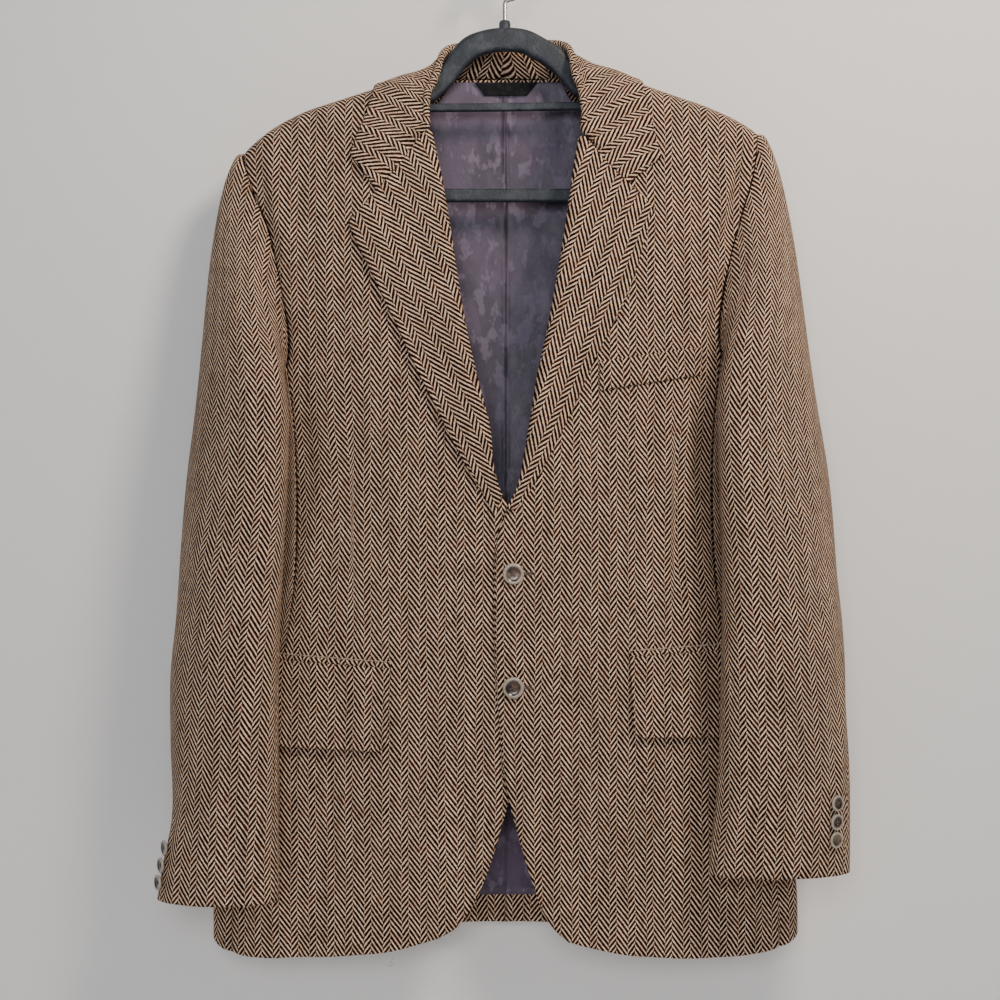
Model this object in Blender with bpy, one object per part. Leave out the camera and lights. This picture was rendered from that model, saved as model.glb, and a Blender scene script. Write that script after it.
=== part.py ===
"""A two-button tweed jacket hanging on a moulded coat hanger.

The origin is the inner top of the hanger's hook, +X is to the right as seen from the front, the
fronts face -Y and +Z is up.  Sizes are in millimetres until the mesh is made.  "Left" and "right"
are the sides as seen from the front.

The body is one unrolled shell: a point is named by how far out from the centre it is and by its
level.  Below the shoulder a level is simply the height; near the shoulder it runs on over the
rounded top, so that fronts and backs meet at a seam just behind the ridge.
"""
import math

import bmesh
import bpy
import numpy as np

MM = 0.001

# cloth and clearances
CLOTH = 2.2
LAPEL_CLOTH = 2.4
COLLAR_CLOTH = 1.5
THINNEST = 1.0
CROWDED = 0.08
THIN_BY = 0.92
LINING_CLOTH = 1.0
LABEL_CLOTH = 0.6
SEAM = 0.35
LAID_ON = 1.3

# shoulders and body
SHOULDER_ROUND = 24.0
SEAM_BEHIND_RIDGE = 7.0
SIDE_POWER = 2.3
OVERLAP_TUCK = 4.2
UNROLL = SHOULDER_ROUND * (math.pi / 2 - 1)

LEFT = -1
RIGHT = 1

RIDGE_COLUMNS = ("out", "left", "right")
RIDGE = (
    (0, -60, -60),
    (40, -84, -78),
    (62, -103, -96),
    (82, -117, -110),
    (122, -127, -121),
    (160, -139, -134),
    (200, -153, -148),
    (225, -167, -160),
    (241, -180, -171),
    (252, -191, -182),
    (262, -206, -196),
)

BODY_COLUMNS = ("height", "left", "right", "front", "back", "middle")
BODY = (
    (-960, 282, 281, 35, 35, -2),
    (-900, 281, 280, 38, 35, -2),
    (-850, 275, 274, 41, 35, -3),
    (-800, 262, 262, 43, 35, -3),
    (-700, 236, 236, 45, 33, -4),
    (-600, 220, 220, 46, 31, -4),
    (-520, 218, 217, 48, 33, -4),
    (-430, 224, 222, 50, 37, -4),
    (-330, 242, 238, 50, 39, -4),
    (-260, 256, 250, 45, 38, -3),
    (-200, 262, 252, 38, 36, -2),
    (-150, 262, 252, 31, 33, 0),
    (-100, 262, 252, 24, 30, 0),
)

# front armholes, from the shoulder seam down to the underarm: level and distance out
ARMHOLE_COLUMNS = ("turn", "left_level", "left_out", "right_level", "right_out")
FRONT_ARMHOLE = (
    (0, -171, 252, -151, 242),
    (20, -200, 250, -182, 240),
    (40, -232, 240, -216, 235),
    (60, -266, 226, -252, 224),
    (80, -302, 217, -290, 213),
    (100, -338, 210, -326, 206),
    (120, -370, 206, -358, 202),
    (140, -397, 208, -385, 204),
    (160, -418, 215, -403, 212),
    (180, -428, 223.9, -412, 222),
)
BACK_ARMHOLE = (
    (0, -185, 252, -165, 242),
    (20, -207, 249, -189, 239),
    (40, -232, 242, -216, 233),
    (60, -266, 234, -252, 227),
    (80, -302, 228, -290, 222),
    (100, -338, 223, -326, 217),
    (120, -370, 219, -358, 214),
    (140, -397, 217, -385, 213),
    (160, -418, 219, -403, 216),
    (180, -428, 223.9, -412, 222),
)
SIDE_SEAM_TURN = 140

# inner edge of each front from the neck point to the tail: height and distance to the front's own
# side of the centre (a minus is past the centre)
FRONT_EDGE_COLUMNS = ("level", "out")
LEFT_FRONT_EDGE = (
    (-181, 75),
    (-207, 68.5),
    (-263, 58),
    (-309, 51),
    (-365, 41.5),
    (-411, 31),
    (-462, 18),
    (-498, 11),
    (-518, 4),
    (-535, -9),
    (-560, -22),
    (-620, -24),
    (-700, -24),
    (-740, -20),
    (-775, -12),
    (-805, -2.6),
    (-830, 4.4),
    (-852, 10.8),
    (-886, 22.6),
    (-910, 34.7),
    (-927, 50.6),
    (-935, 64.6),
)
RIGHT_FRONT_EDGE = (
    (-188, 72.7),
    (-225, 66),
    (-263, 60.6),
    (-309, 53),
    (-360, 43.8),
    (-407, 33.6),
    (-462, 24.3),
    (-491, 17),
    (-513, 10),
    (-530, 1.5),
    (-550, -6.5),
    (-580, -10.5),
    (-620, -11),
    (-690, -9.5),
    (-737, -5.8),
    (-765, -3.9),
    (-793, 0.2),
    (-826, 8.1),
    (-857, 17),
    (-886, 25.8),
    (-912, 36),
    (-929, 48),
    (-938.5, 59),
)
HEM_COLUMNS = ("out", "left", "right")
FRONT_HEM = (
    (55, -931, -936),
    (65, -935, -940),
    (100, -946, -949),
    (145, -952, -954),
    (190, -955, -956),
    (230, -957, -954),
    (262, -953, -948),
    (276, -945, -940),
    (282, -936, -932),
)
BACK_HEM_CENTRE = -937.0
BACK_HEM_SIDE = -941.0
BACK_NECK_LEVEL = -111.0

# lapels: the top edge runs down the gorge to the notch and on to the tip
NOTCH_OUT = {LEFT: 121.0, RIGHT: 114.5}
LAPEL_TIP = {LEFT: (147.0, -264.5), RIGHT: (138.0, -250.0)}
LAPEL_EDGE_COLUMNS = ("level", "out")
LAPEL_EDGE = {
    LEFT: (
        (-264.5, 147),
        (-283, 139.5),
        (-299, 131),
        (-321, 120.5),
        (-358, 102.5),
        (-405, 81),
        (-432, 67),
        (-462, 52.5),
        (-491, 37.5),
        (-518, 21.5),
        (-540, 9),
    ),
    RIGHT: (
        (-250, 138),
        (-263, 134),
        (-277, 129),
        (-296, 124),
        (-315, 118),
        (-335, 111.5),
        (-363, 96.5),
        (-397, 79.5),
        (-426, 67),
        (-467, 47.5),
        (-500, 30),
        (-518, 19.5),
        (-532, 9),
    ),
}
LAPEL_TOP = {LEFT: -182.0, RIGHT: -189.0}
LAPEL_FOOT_INNER = {LEFT: -518.0, RIGHT: -531.0}
LAPEL_FOOT_OUTER = {LEFT: -538.0, RIGHT: -532.0}
# the roll at the fronts' edge: how far past the edge the cloth lies and how high above the front
LAPEL_ROWS = 15
LAPEL_FLAT_COLUMNS = 3
# columns: past, lift, past at the foot, lift at the foot
LAPEL_ROLL = (
    (4.4, -1.8, 0.9, 3.8),
    (5.2, 1.2, 0.1, 4.7),
    (4.2, 4.8, -0.3, 4.7),
    (1.2, 7.6, -1.0, 4.9),
    (-4.0, 8.4, -2.0, 5.0),
    (-12.0, 7.6, -3.5, 4.9),
)

# collar, one row a station from each notch to the centre back: the neck seam and the outer edge
# by distance out and drop (a minus drop is behind the ridge), and the fold by its place in space
COLLAR_COLUMNS = (
    "seam_out", "seam_drop", "fold_out", "fold_depth", "fold_height", "edge_out", "edge_drop",
)
COLLAR = {
    LEFT: (
        (76.0, 77, 70.5, -45, -177, 127, 31),
        (78.0, 66, 71.5, -42, -162, 124.5, 19),
        (80.5, 48, 71.0, -37, -144, 123, 9),
        (82.5, 25, 69.0, -30, -126, 120, -3),
        (83.0, 8, 66.5, -18, -109, 116, -18),
        (81.0, -9, 62.0, -2, -90, 107, -34),
        (66.0, -19, 50.0, 14, -80, 86, -48),
        (34.0, -44, 25.0, 26, -75, 48, -60),
        (0.0, -62, 0.0, 30, -73, 0, -82),
    ),
    RIGHT: (
        (73.5, 84, 68.5, -45, -182, 131, 37),
        (77.5, 64, 70.0, -42, -160, 129, 21),
        (80.0, 46, 68.0, -37, -141, 127, 11),
        (82.5, 25, 66.5, -30, -123, 124, -1),
        (83.0, 8, 65.5, -18, -105, 119, -16),
        (81.0, -9, 62.5, -2, -86, 110, -34),
        (66.0, -25, 51.0, 14, -77, 88, -52),
        (34.0, -49, 25.0, 26, -74, 48, -66),
        (0.0, -62, 0.0, 30, -73, 0, -82),
    ),
}
# the collar on the lapels: share along the gorge, then its edge by distance out and drop
COLLAR_FRONT = {
    LEFT: ((1.0, 146, 79), (0.67, 138, 58), (0.33, 132.5, 47)),
    RIGHT: ((1.0, 145.5, 87), (0.67, 141, 72), (0.33, 136, 53)),
}
COLLAR_FOLD_ROUND = 3.8
COLLAR_FOLD_END = math.radians(168)
COLLAR_FOLD_POINTS = 6
COLLAR_FALL_SWELL = 2.6
COLLAR_LAID_ON = 4.2
COLLAR_SEAM_LIFT = 1.0
COLLAR_SWELL = 3.0
COLLAR_SETTLES = 1.7
COLLAR_STATION_STEP = 0.5
COLLAR_FALL_STEPS = (0.25, 0.5, 0.75, 1.0)
COLLAR_FLAT_STEPS = (0, 0.09, 0.18, 0.25, 0.32, 0.39, 0.46, 0.54, 0.65, 0.77, 0.88, 1.0)

# sleeves below the head: extents across, middle and half depth, and how far the inner side leans
SLEEVE_COLUMNS = ("height", "outer", "inner", "middle", "depth", "lean")
SLEEVE = {
    LEFT: (
        (-891, 322.5, 209, -63, 29, 0.08),
        (-860, 318, 209, -62, 31, 0.12),
        (-822, 311, 209, -60, 35, 0.20),
        (-747, 313, 209, -56, 41, 0.30),
        (-690, 315.5, 208.5, -52, 44, 0.38),
        (-620, 310.5, 207, -48, 47, 0.44),
        (-560, 307.5, 204, -44, 49, 0.50),
        (-500, 304, 201, -40, 50, 0.56),
        (-452, 299, 200, -37, 50, 0.62),
    ),
    RIGHT: (
        (-866, 318, 186, -63, 29, 0.08),
        (-840, 319, 188, -62, 31, 0.12),
        (-784, 320.5, 193, -59, 36, 0.22),
        (-710, 318, 195.6, -55, 43, 0.32),
        (-616, 315, 197.5, -49, 47, 0.44),
        (-570, 312.5, 197.5, -45, 49, 0.50),
        (-495, 307, 195, -40, 50, 0.56),
        (-436, 298, 194, -37, 50, 0.62),
    ),
}
SLEEVE_HEAD_FOOT = {LEFT: -452.0, RIGHT: -436.0}
CUFF = {LEFT: -891.0, RIGHT: -866.0}
# how the sleeve leaves the armhole, by the turn from the top (0) round the front (90) to the
# underarm (180) and up the back (270)
HEAD_COLUMNS = ("turn", "out", "ahead", "down", "reach", "rise", "ring")
HEAD = (
    (0, 1.00, 0.00, 0.02, 24, 0.52, 0),
    (45, 0.86, 0.45, 0.00, 30, 0.50, 48),
    (90, 0.55, 0.80, 0.05, 36, 0.45, 108),
    (135, 0.20, 0.95, 0.25, 22, 0.40, 180),
    (180, 0.60, 0.20, 0.75, 8, 0.30, 238),
    (225, 0.62, -0.35, 0.70, 16, 0.40, 268),
    (270, 0.80, -0.55, 0.00, 34, 0.45, 295),
    (315, 0.90, -0.30, 0.00, 30, 0.50, 324),
    (360, 1.00, 0.00, 0.02, 24, 0.52, 360),
)
FOREARM_TURN = 140
HINDARM_TURN = -70
HINDARM_AT_CUFF = {LEFT: -2.0, RIGHT: 30.0}
FOREARM_AT_CUFF = 165.0
ARMHOLE_GAP = 0.7
SLEEVE_HEAD_ROWS = 6
SLEEVE_ROWS = 7

# panels
# turns round the armhole where points lie: on the front or back, and on the side body
FRONT_TURNS = (0, 6, 14, 25, 45, 70, 95, 120, 140)
UNDER_TURNS = (140, 155, 168, 180)
SIDE_FULLNESS_AT_HEM = 0.40
SIDE_SEAM_FOOT = -950.0
PANEL_ROWS_BELOW = 11
PANEL_COLUMNS = 7
NECK_OUT = 83.0
NECK_FLAT_OUT = 30.0
CHEST_LEVEL = -430.0
HEM_CORNER_OUT = 262.0
SIDE_HEM_OUT = 282.0
SIDE_HEM_DROP = 6.0

# pockets, welt, lining and label
# corners as (out, level): top inner, top outer, bottom inner, bottom outer
FLAP = {
    LEFT: ((107.5, -680), (214, -674), (110.5, -757.5), (214, -755)),
    RIGHT: ((115, -669.5), (214, -664), (118, -744.5), (214, -746)),
}
FLAP_CORNER = 12.0
JET_HEIGHT = 5.0
WELT = ((86.5, -394.4), (183.4, -379.5), (86.5, -421.4), (183.4, -405.6))
LINING_CLEAR = 1.4
LINING_CLEAR_AT_NECK = 2.5
LINING_WIDTH_SHARE = 0.80
LINING_TOP = -114.0
LINING_TOP_OUT = 56.0
LINING_FOOT = -910.0

LABEL_TOP_HALF = 31.0
LABEL_BOTTOM_HALF = 21.0
LABEL_TOP = -114.5
LABEL_BOTTOM = -127.0

# buttons
FRONT_BUTTON_RADIUS = 10.0
FRONT_BUTTON_OUT = 6.6
FRONT_BUTTON_SHANK = 1.6
FRONT_BUTTON_HEIGHTS = (-591.5, -697.5)
CUFF_BUTTON_RADIUS = 7.4
CUFF_BUTTON_TURN = {LEFT: 20.0, RIGHT: 47.0}
CUFF_BUTTON_HEIGHTS = {LEFT: (-843.0, -858.6, -874.2), RIGHT: (-799.5, -816.5, -832.5)}
CUFF_BUTTON_SHANK = 2.2
BUTTON_STEPS = 20
# turned profile as shares of the radius: across and height
BUTTON_PROFILE = (
    (0.72, 0.0),
    (0.95, 0.10),
    (1.0, 0.22),
    (0.95, 0.34),
    (0.80, 0.40),
    (0.62, 0.34),
    (0.50, 0.27),
)

# hanger rails by their stations: x, height, half height and half depth
HANGER_ARCH = (
    (-214, -187, 7, 8),
    (-200, -177, 8.5, 10),
    (-160, -161, 9, 10),
    (-122, -148, 9, 9),
    (-86, -138, 9.5, 8),
    (-70, -128, 9.0, 5.8),
    (-59, -117.5, 8.8, 5.0),
    (-47, -101, 9.8, 5.6),
    (-34, -88, 11, 7.5),
    (-18, -82, 11, 7.5),
    (0, -80, 11, 7.5),
    (18, -82, 11, 7.5),
    (32, -89, 11, 7.5),
    (45, -97, 11, 7.5),
    (58.5, -111.5, 9.2, 5.2),
    (69, -123.5, 9.2, 6),
    (86, -134, 9.5, 8),
    (122, -143, 9, 9),
    (160, -156, 9, 10),
    (200, -171, 8.5, 10),
    (214, -181, 7, 8),
)
LOWER_BAR = (
    (-211, -184, 5.5, 5),
    (-214, -206, 5.5, 5),
    (-204, -224, 6, 5),
    (-184, -229.5, 6.3, 5),
    (-164, -230, 6.3, 5),
    (-130, -230, 6.3, 5),
    (0, -230, 6.3, 5),
    (130, -230, 6.3, 5),
    (164, -230, 6.3, 5),
    (184, -229.5, 6.3, 5),
    (204, -223, 6, 5),
    (213, -204, 5.5, 5),
    (211, -180, 5.5, 5),
)
UPPER_BAR = (
    (-118, -146, 3.8, 4),
    (0, -145, 3.8, 4),
    (118, -143, 3.8, 4),
)
RAIL_STEPS = 10
RAIL_SQUARENESS = 0.75
ARCH_STATIONS = 48
LOWER_BAR_STATIONS = 40
POST_STEPS = 24
NECK_RADIUS = 5.7
NECK_TOP = -62.0
NECK_BOTTOM = -84.0
WIRE_RADIUS = 2.3
WIRE_HOLE_CLEAR = 0.4
WIRE_HOLE_RUNS_PAST = 10.0
STEM_X = -1.2
STEM_BOTTOM = -78.0
STEM_TOP = -46.5
WIRE_STEPS = 14
BEND_START = math.radians(-52)
BEND_LEAD = 7.0
HOOK_END = math.radians(196)
HOOK_INNER_RADIUS = 20.0
BEND_POINTS = 7
BOW_POINTS = 26

# ---------------------------------------------------------------- tables and curves

def smooth(table, columns, name, at):
    """Read one column of a table at a value of its first column, along a smooth curve."""
    rows = np.array(table, dtype=float)
    if rows[0, 0] > rows[-1, 0]:
        rows = rows[::-1]
    knots = rows[:, 0]
    values = rows[:, columns.index(name)]
    slopes = np.gradient(values, knots)
    at = min(max(at, knots[0]), knots[-1])
    i = min(int(np.searchsorted(knots, at, side="right")) - 1, len(knots) - 2)
    span = knots[i + 1] - knots[i]
    t = (at - knots[i]) / span
    start = values[i] * (1 + 2 * t) * (1 - t) ** 2
    start += slopes[i] * span * t * (1 - t) ** 2
    end = values[i + 1] * t * t * (3 - 2 * t)
    end += slopes[i + 1] * span * t * t * (t - 1)
    return start + end


def side_name(side):
    return "left" if side == LEFT else "right"


def ridge(side, out):
    return smooth(RIDGE, RIDGE_COLUMNS, side_name(side), abs(out))


def body(name, height):
    return smooth(BODY, BODY_COLUMNS, name, height)


def ease(low, high, value):
    """0 at low and 1 at high, smooth between; low may be the larger."""
    t = min(max((value - low) / (high - low), 0.0), 1.0)
    return t * t * (3 - 2 * t)


def shell(side, out, drop):
    """Outer face of the body; drop runs from the ridge down the front (+) or the back (-)."""
    run = abs(drop)
    if run < SHOULDER_ROUND * math.pi / 2:
        turn = run / SHOULDER_ROUND
        fall = SHOULDER_ROUND * (1 - math.cos(turn))
        fullness = math.sin(turn)
    else:
        fall = run - UNROLL
        fullness = 1.0
    height = ridge(side, out) - fall
    across = min(abs(out) / body(side_name(side), height), 1.0)
    fullness *= math.sqrt(max(0.0, 1 - across ** SIDE_POWER))
    if drop >= 0:
        y = body("middle", height) - body("front", height) * fullness
    else:
        y = body("middle", height) + body("back", height) * fullness
    return np.array([side * out, y, height])


def front(side, out, level):
    point = shell(side, out, ridge(side, out) + UNROLL - level)
    if side == LEFT:
        point[1] += OVERLAP_TUCK * (1 - ease(15, 60, out)) * ease(-430, -520, level)
    return point


def back(side, out, level):
    return shell(side, out, level - ridge(side, out) - UNROLL)


def normal_of(surface, side, out, level):
    step = 1.0
    across = surface(side, out + step, level) - surface(side, out - step, level)
    down = surface(side, out, level - step) - surface(side, out, level + step)
    normal = np.cross(down, across) * side
    if surface is back:
        normal = -normal
    return normal / np.linalg.norm(normal)


def lifted(surface, side, out, level, lift):
    return surface(side, out, level) + normal_of(surface, side, out, level) * lift


def patch(top, bottom, inner, outer):
    """Fill four edges: top and bottom run outward, inner and outer run down."""
    rows = len(inner)
    columns = len(top)
    u = np.linspace(0, 1, columns)[None, :, None]
    v = np.linspace(0, 1, rows)[:, None, None]
    grid = (1 - v) * top[None] + v * bottom[None] + (1 - u) * inner[:, None] + u * outer[:, None]
    corners = (1 - u) * (1 - v) * top[0] + u * (1 - v) * top[-1]
    corners = corners + (1 - u) * v * bottom[0] + u * v * bottom[-1]
    return grid - corners


# ---------------------------------------------------------------- meshes

def material(name, colour, roughness, metallic=0.0):
    made = bpy.data.materials.get(name) or bpy.data.materials.new(name)
    made.use_nodes = True
    shader = made.node_tree.nodes["Principled BSDF"]
    shader.inputs["Base Color"].default_value = (*colour, 1.0)
    shader.inputs["Roughness"].default_value = roughness
    shader.inputs["Metallic"].default_value = metallic
    return made


def tweed():
    return material("tweed", (0.20, 0.13, 0.09), 0.95)


def satin():
    return material("lining_satin", (0.12, 0.11, 0.15), 0.45)


def label_satin():
    return material("label_satin", (0.02, 0.02, 0.025), 0.6)


def horn():
    return material("button_horn", (0.05, 0.03, 0.02), 0.25)


def plastic():
    return material("hanger_plastic", (0.07, 0.08, 0.09), 0.5)


def steel():
    return material("hook_steel", (0.6, 0.6, 0.6), 0.3, 1.0)


def add_object(name, vertices, faces, finish):
    mesh = bpy.data.meshes.new(name)
    mesh.from_pydata([tuple(v * MM) for v in np.asarray(vertices, dtype=float)], [], faces)
    mesh.validate()
    shape = bmesh.new()
    shape.from_mesh(mesh)
    if shape.calc_volume(signed=True) < 0:
        bmesh.ops.reverse_faces(shape, faces=shape.faces)
    shape.to_mesh(mesh)
    shape.free()
    mesh.materials.append(finish)
    item = bpy.data.objects.new(name, mesh)
    bpy.context.scene.collection.objects.link(item)
    return item


def grid_normals(grid):
    down = np.gradient(grid, axis=0)
    across = np.gradient(grid, axis=1)
    normals = np.cross(across, down)
    return normals / np.linalg.norm(normals, axis=2, keepdims=True)


def cell_normals(grid):
    first = grid[1:, 1:] - grid[:-1, :-1]
    second = grid[:-1, 1:] - grid[1:, :-1]
    return np.cross(first, second)


def inner_face(grid, normals, thickness):
    """The wall's inner face; where the cloth turns too tightly for its thickness, it thins."""
    depth = np.full(grid.shape[:2], float(thickness))
    outer_cells = cell_normals(grid)
    area = np.sum(outer_cells ** 2, axis=2)
    while True:
        inner = grid - normals * depth[..., None]
        crowded = np.sum(cell_normals(inner) * outer_cells, axis=2) < CROWDED * area
        corners = np.zeros(depth.shape, dtype=bool)
        corners[:-1, :-1] |= crowded
        corners[1:, :-1] |= crowded
        corners[:-1, 1:] |= crowded
        corners[1:, 1:] |= crowded
        corners &= depth > THINNEST
        if not corners.any():
            return inner
        depth[corners] *= THIN_BY


def cloth(name, grid, thickness, finish, outward=None, normals=None):
    """A wall whose outer face is the grid; outward is a direction the outer face looks along."""
    grid = np.asarray(grid, dtype=float)
    if normals is None:
        normals = grid_normals(grid)
        if np.sum(normals * np.asarray(outward)) < 0:
            normals = -normals
    rows, columns = grid.shape[:2]
    inner = inner_face(grid, normals, thickness)
    vertices = np.concatenate([grid.reshape(-1, 3), inner.reshape(-1, 3)])
    shift = rows * columns
    faces = []
    for i in range(rows - 1):
        for j in range(columns - 1):
            a = i * columns + j
            quad = (a, a + 1, a + 1 + columns, a + columns)
            faces.append(quad)
            faces.append(tuple(shift + k for k in reversed(quad)))
    rim = [j for j in range(columns)]
    rim += [i * columns + columns - 1 for i in range(1, rows)]
    rim += [(rows - 1) * columns + j for j in range(columns - 2, -1, -1)]
    rim += [i * columns for i in range(rows - 2, 0, -1)]
    for a, b in zip(rim, rim[1:] + rim[:1]):
        if a < b:
            faces += [(b, a, shift + b), (a, shift + a, shift + b)]
        else:
            faces += [(b, a, shift + a), (b, shift + a, shift + b)]
    return add_object(name, vertices, faces, finish)


# ---------------------------------------------------------------- armholes and side seams

def armhole(side, turn):
    """Distance out and level of the armhole seam; a minus turn is on the back."""
    table = FRONT_ARMHOLE if turn >= 0 else BACK_ARMHOLE
    name = side_name(side)
    out = smooth(table, ARMHOLE_COLUMNS, name + "_out", abs(turn))
    level = smooth(table, ARMHOLE_COLUMNS, name + "_level", abs(turn))
    if turn == 0:
        level = ridge(side, out) + UNROLL + SEAM_BEHIND_RIDGE
    if abs(turn) == 180:
        out = body(name, level)
    return out, level


def armhole_point(side, turn):
    out, level = armhole(side, turn)
    return (front if turn >= 0 else back)(side, out, level)


def armhole_normal(side, turn):
    out, level = armhole(side, turn)
    if abs(turn) == 180:
        return np.array([side, 0.0, 0.0])
    return normal_of(front if turn >= 0 else back, side, out - 1.5, level)


def fullness_at(side, out, level):
    across = min(out / body(side_name(side), level), 1.0)
    return math.sqrt(1 - across ** SIDE_POWER)


def side_point(side, fullness, level):
    """Body point by its fullness: + towards the front, 0 at the side, - towards the back."""
    out = body(side_name(side), level) * (1 - fullness ** 2) ** (1 / SIDE_POWER)
    depth = -body("front", level) * fullness if fullness > 0 else -body("back", level) * fullness
    return np.array([side * out, body("middle", level) + depth, level])


def side_normal(side, fullness, level):
    step = 0.02
    along_side = side_point(side, fullness + step, level) - side_point(side, fullness - step, level)
    down = side_point(side, fullness, level - 1.0) - side_point(side, fullness, level + 1.0)
    normal = np.cross(along_side, down)
    return normal / np.linalg.norm(normal) * math.copysign(1, normal[0] * side)


def seam_fullness(side, level, on_back):
    turn = -SIDE_SEAM_TURN if on_back else SIDE_SEAM_TURN
    out, top = armhole(side, turn)
    start = fullness_at(side, out, top)
    t = (top - level) / (top - SIDE_SEAM_FOOT)
    return start + (SIDE_FULLNESS_AT_HEM - start) * t


def seam_out(side, level, on_back):
    fullness = seam_fullness(side, level, on_back)
    return body(side_name(side), level) * (1 - fullness ** 2) ** (1 / SIDE_POWER)


def front_hem(side, out):
    return smooth(FRONT_HEM, HEM_COLUMNS, side_name(side), out)


def back_hem(out):
    return BACK_HEM_CENTRE + (BACK_HEM_SIDE - BACK_HEM_CENTRE) * ease(0, SIDE_HEM_OUT, out)


def side_hem(side, fullness):
    """Hem level round the side body, from the front's to the back's."""
    front_level = front_hem(side, HEM_CORNER_OUT)
    back_level = back_hem(HEM_CORNER_OUT)
    side_level = front_hem(side, SIDE_HEM_OUT) - SIDE_HEM_DROP
    if fullness >= 0:
        return side_level + (front_level - side_level) * ease(0, SIDE_FULLNESS_AT_HEM, fullness)
    return side_level + (back_level - side_level) * ease(0, SIDE_FULLNESS_AT_HEM, -fullness)


def seam_levels(side, on_back):
    """Levels down a side seam, closer together towards the hem."""
    turn = -SIDE_SEAM_TURN if on_back else SIDE_SEAM_TURN
    top = armhole(side, turn)[1]
    bottom = side_hem(side, -SIDE_FULLNESS_AT_HEM if on_back else SIDE_FULLNESS_AT_HEM)
    steps = np.linspace(0, 1, PANEL_ROWS_BELOW + 1)
    steps = 1 - (1 - steps) ** 1.25
    return top + (bottom - top) * steps


def shoulder_row(side, outs, on_back):
    behind = -SEAM_BEHIND_RIDGE - SEAM / 2 if on_back else SEAM_BEHIND_RIDGE - SEAM / 2
    return np.array([(out, ridge(side, out) + UNROLL + behind) for out in outs])


def outer_edge(side, on_back):
    sign = -1 if on_back else 1
    arm = [armhole(side, sign * turn) for turn in FRONT_TURNS]
    arm = [(out - SEAM / 2, level) for out, level in arm]
    top_out = arm[0][0]
    arm[0] = tuple(shoulder_row(side, [top_out], on_back)[0])
    levels = seam_levels(side, on_back)[1:]
    seam = [(seam_out(side, level, on_back) - SEAM / 2, level) for level in levels]
    return np.array(arm + seam)


# ---------------------------------------------------------------- body panels

def front_edge(side, level):
    table = LEFT_FRONT_EDGE if side == LEFT else RIGHT_FRONT_EDGE
    return smooth(table, FRONT_EDGE_COLUMNS, "out", level)


def body_cloth(name, surface, side, flat):
    grid = np.array([[surface(side, *cell) for cell in row] for row in flat])
    normals = np.array([[normal_of(surface, side, *cell) for cell in row] for row in flat])
    return cloth(name, grid, CLOTH, tweed(), normals=normals)


def shoulder_outs(side):
    shoulder_end = armhole(side, 0)[0] - SEAM / 2
    return NECK_OUT + (shoulder_end - NECK_OUT) * np.linspace(0, 1, PANEL_COLUMNS) ** 0.9


def front_panel(side):
    outer = outer_edge(side, False)
    table = LEFT_FRONT_EDGE if side == LEFT else RIGHT_FRONT_EDGE
    top_level = shoulder_row(side, [NECK_OUT], False)[0][1]
    foot_out, foot_level = table[-1][1], table[-1][0]
    break_row = len(FRONT_TURNS) - 1
    arm_levels = outer[:break_row + 1, 1]
    upper = np.interp(arm_levels, [arm_levels[-1], arm_levels[0]], [CHEST_LEVEL, top_level])
    share = (outer[break_row:, 1] - outer[break_row, 1]) / (outer[-1, 1] - outer[break_row, 1])
    lower = CHEST_LEVEL + (foot_level - CHEST_LEVEL) * share
    levels = np.concatenate([upper, lower[1:]])
    inner = []
    for level in levels:
        if level > table[0][0]:
            t = (top_level - level) / (top_level - table[0][0])
            inner.append((NECK_OUT + (table[0][1] - NECK_OUT) * t ** 1.5, level))
        else:
            inner.append((front_edge(side, level), level))
    inner = np.array(inner)
    top = shoulder_row(side, shoulder_outs(side), False)
    hem_outs = foot_out + (outer[-1, 0] - foot_out) * np.linspace(0, 1, PANEL_COLUMNS) ** 0.85
    bottom = np.array([(out, front_hem(side, out)) for out in hem_outs])
    bottom[0] = inner[-1]
    bottom[-1] = outer[-1]
    inner[0] = top[0]
    flat = patch(top, bottom, inner, outer)
    return body_cloth("front_" + side_name(side), front, side, flat)


def back_panel(side):
    outer = outer_edge(side, True)
    top_outs = np.concatenate([[SEAM / 2, 28, 50, 68], shoulder_outs(side)])
    neck_level = shoulder_row(side, [NECK_OUT], True)[0][1]
    top = []
    for out in top_outs:
        if out < NECK_OUT:
            rise = ease(NECK_FLAT_OUT, NECK_OUT, out)
            top.append((out, BACK_NECK_LEVEL + (neck_level - BACK_NECK_LEVEL) * rise))
        else:
            top.append(tuple(shoulder_row(side, [out], True)[0]))
    top = np.array(top)
    share = (outer[:, 1] - outer[0, 1]) / (outer[-1, 1] - outer[0, 1])
    centre_levels = BACK_NECK_LEVEL + (BACK_HEM_CENTRE - BACK_NECK_LEVEL) * share
    inner = np.stack([np.full(len(outer), SEAM / 2), centre_levels], axis=1)
    hem_outs = top_outs / top_outs[-1] * outer[-1, 0]
    bottom = np.array([(out, back_hem(out)) for out in hem_outs])
    bottom[0] = inner[-1]
    bottom[-1] = outer[-1]
    flat = patch(top, bottom, inner, outer)
    return body_cloth("back_" + side_name(side), back, side, flat)


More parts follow.
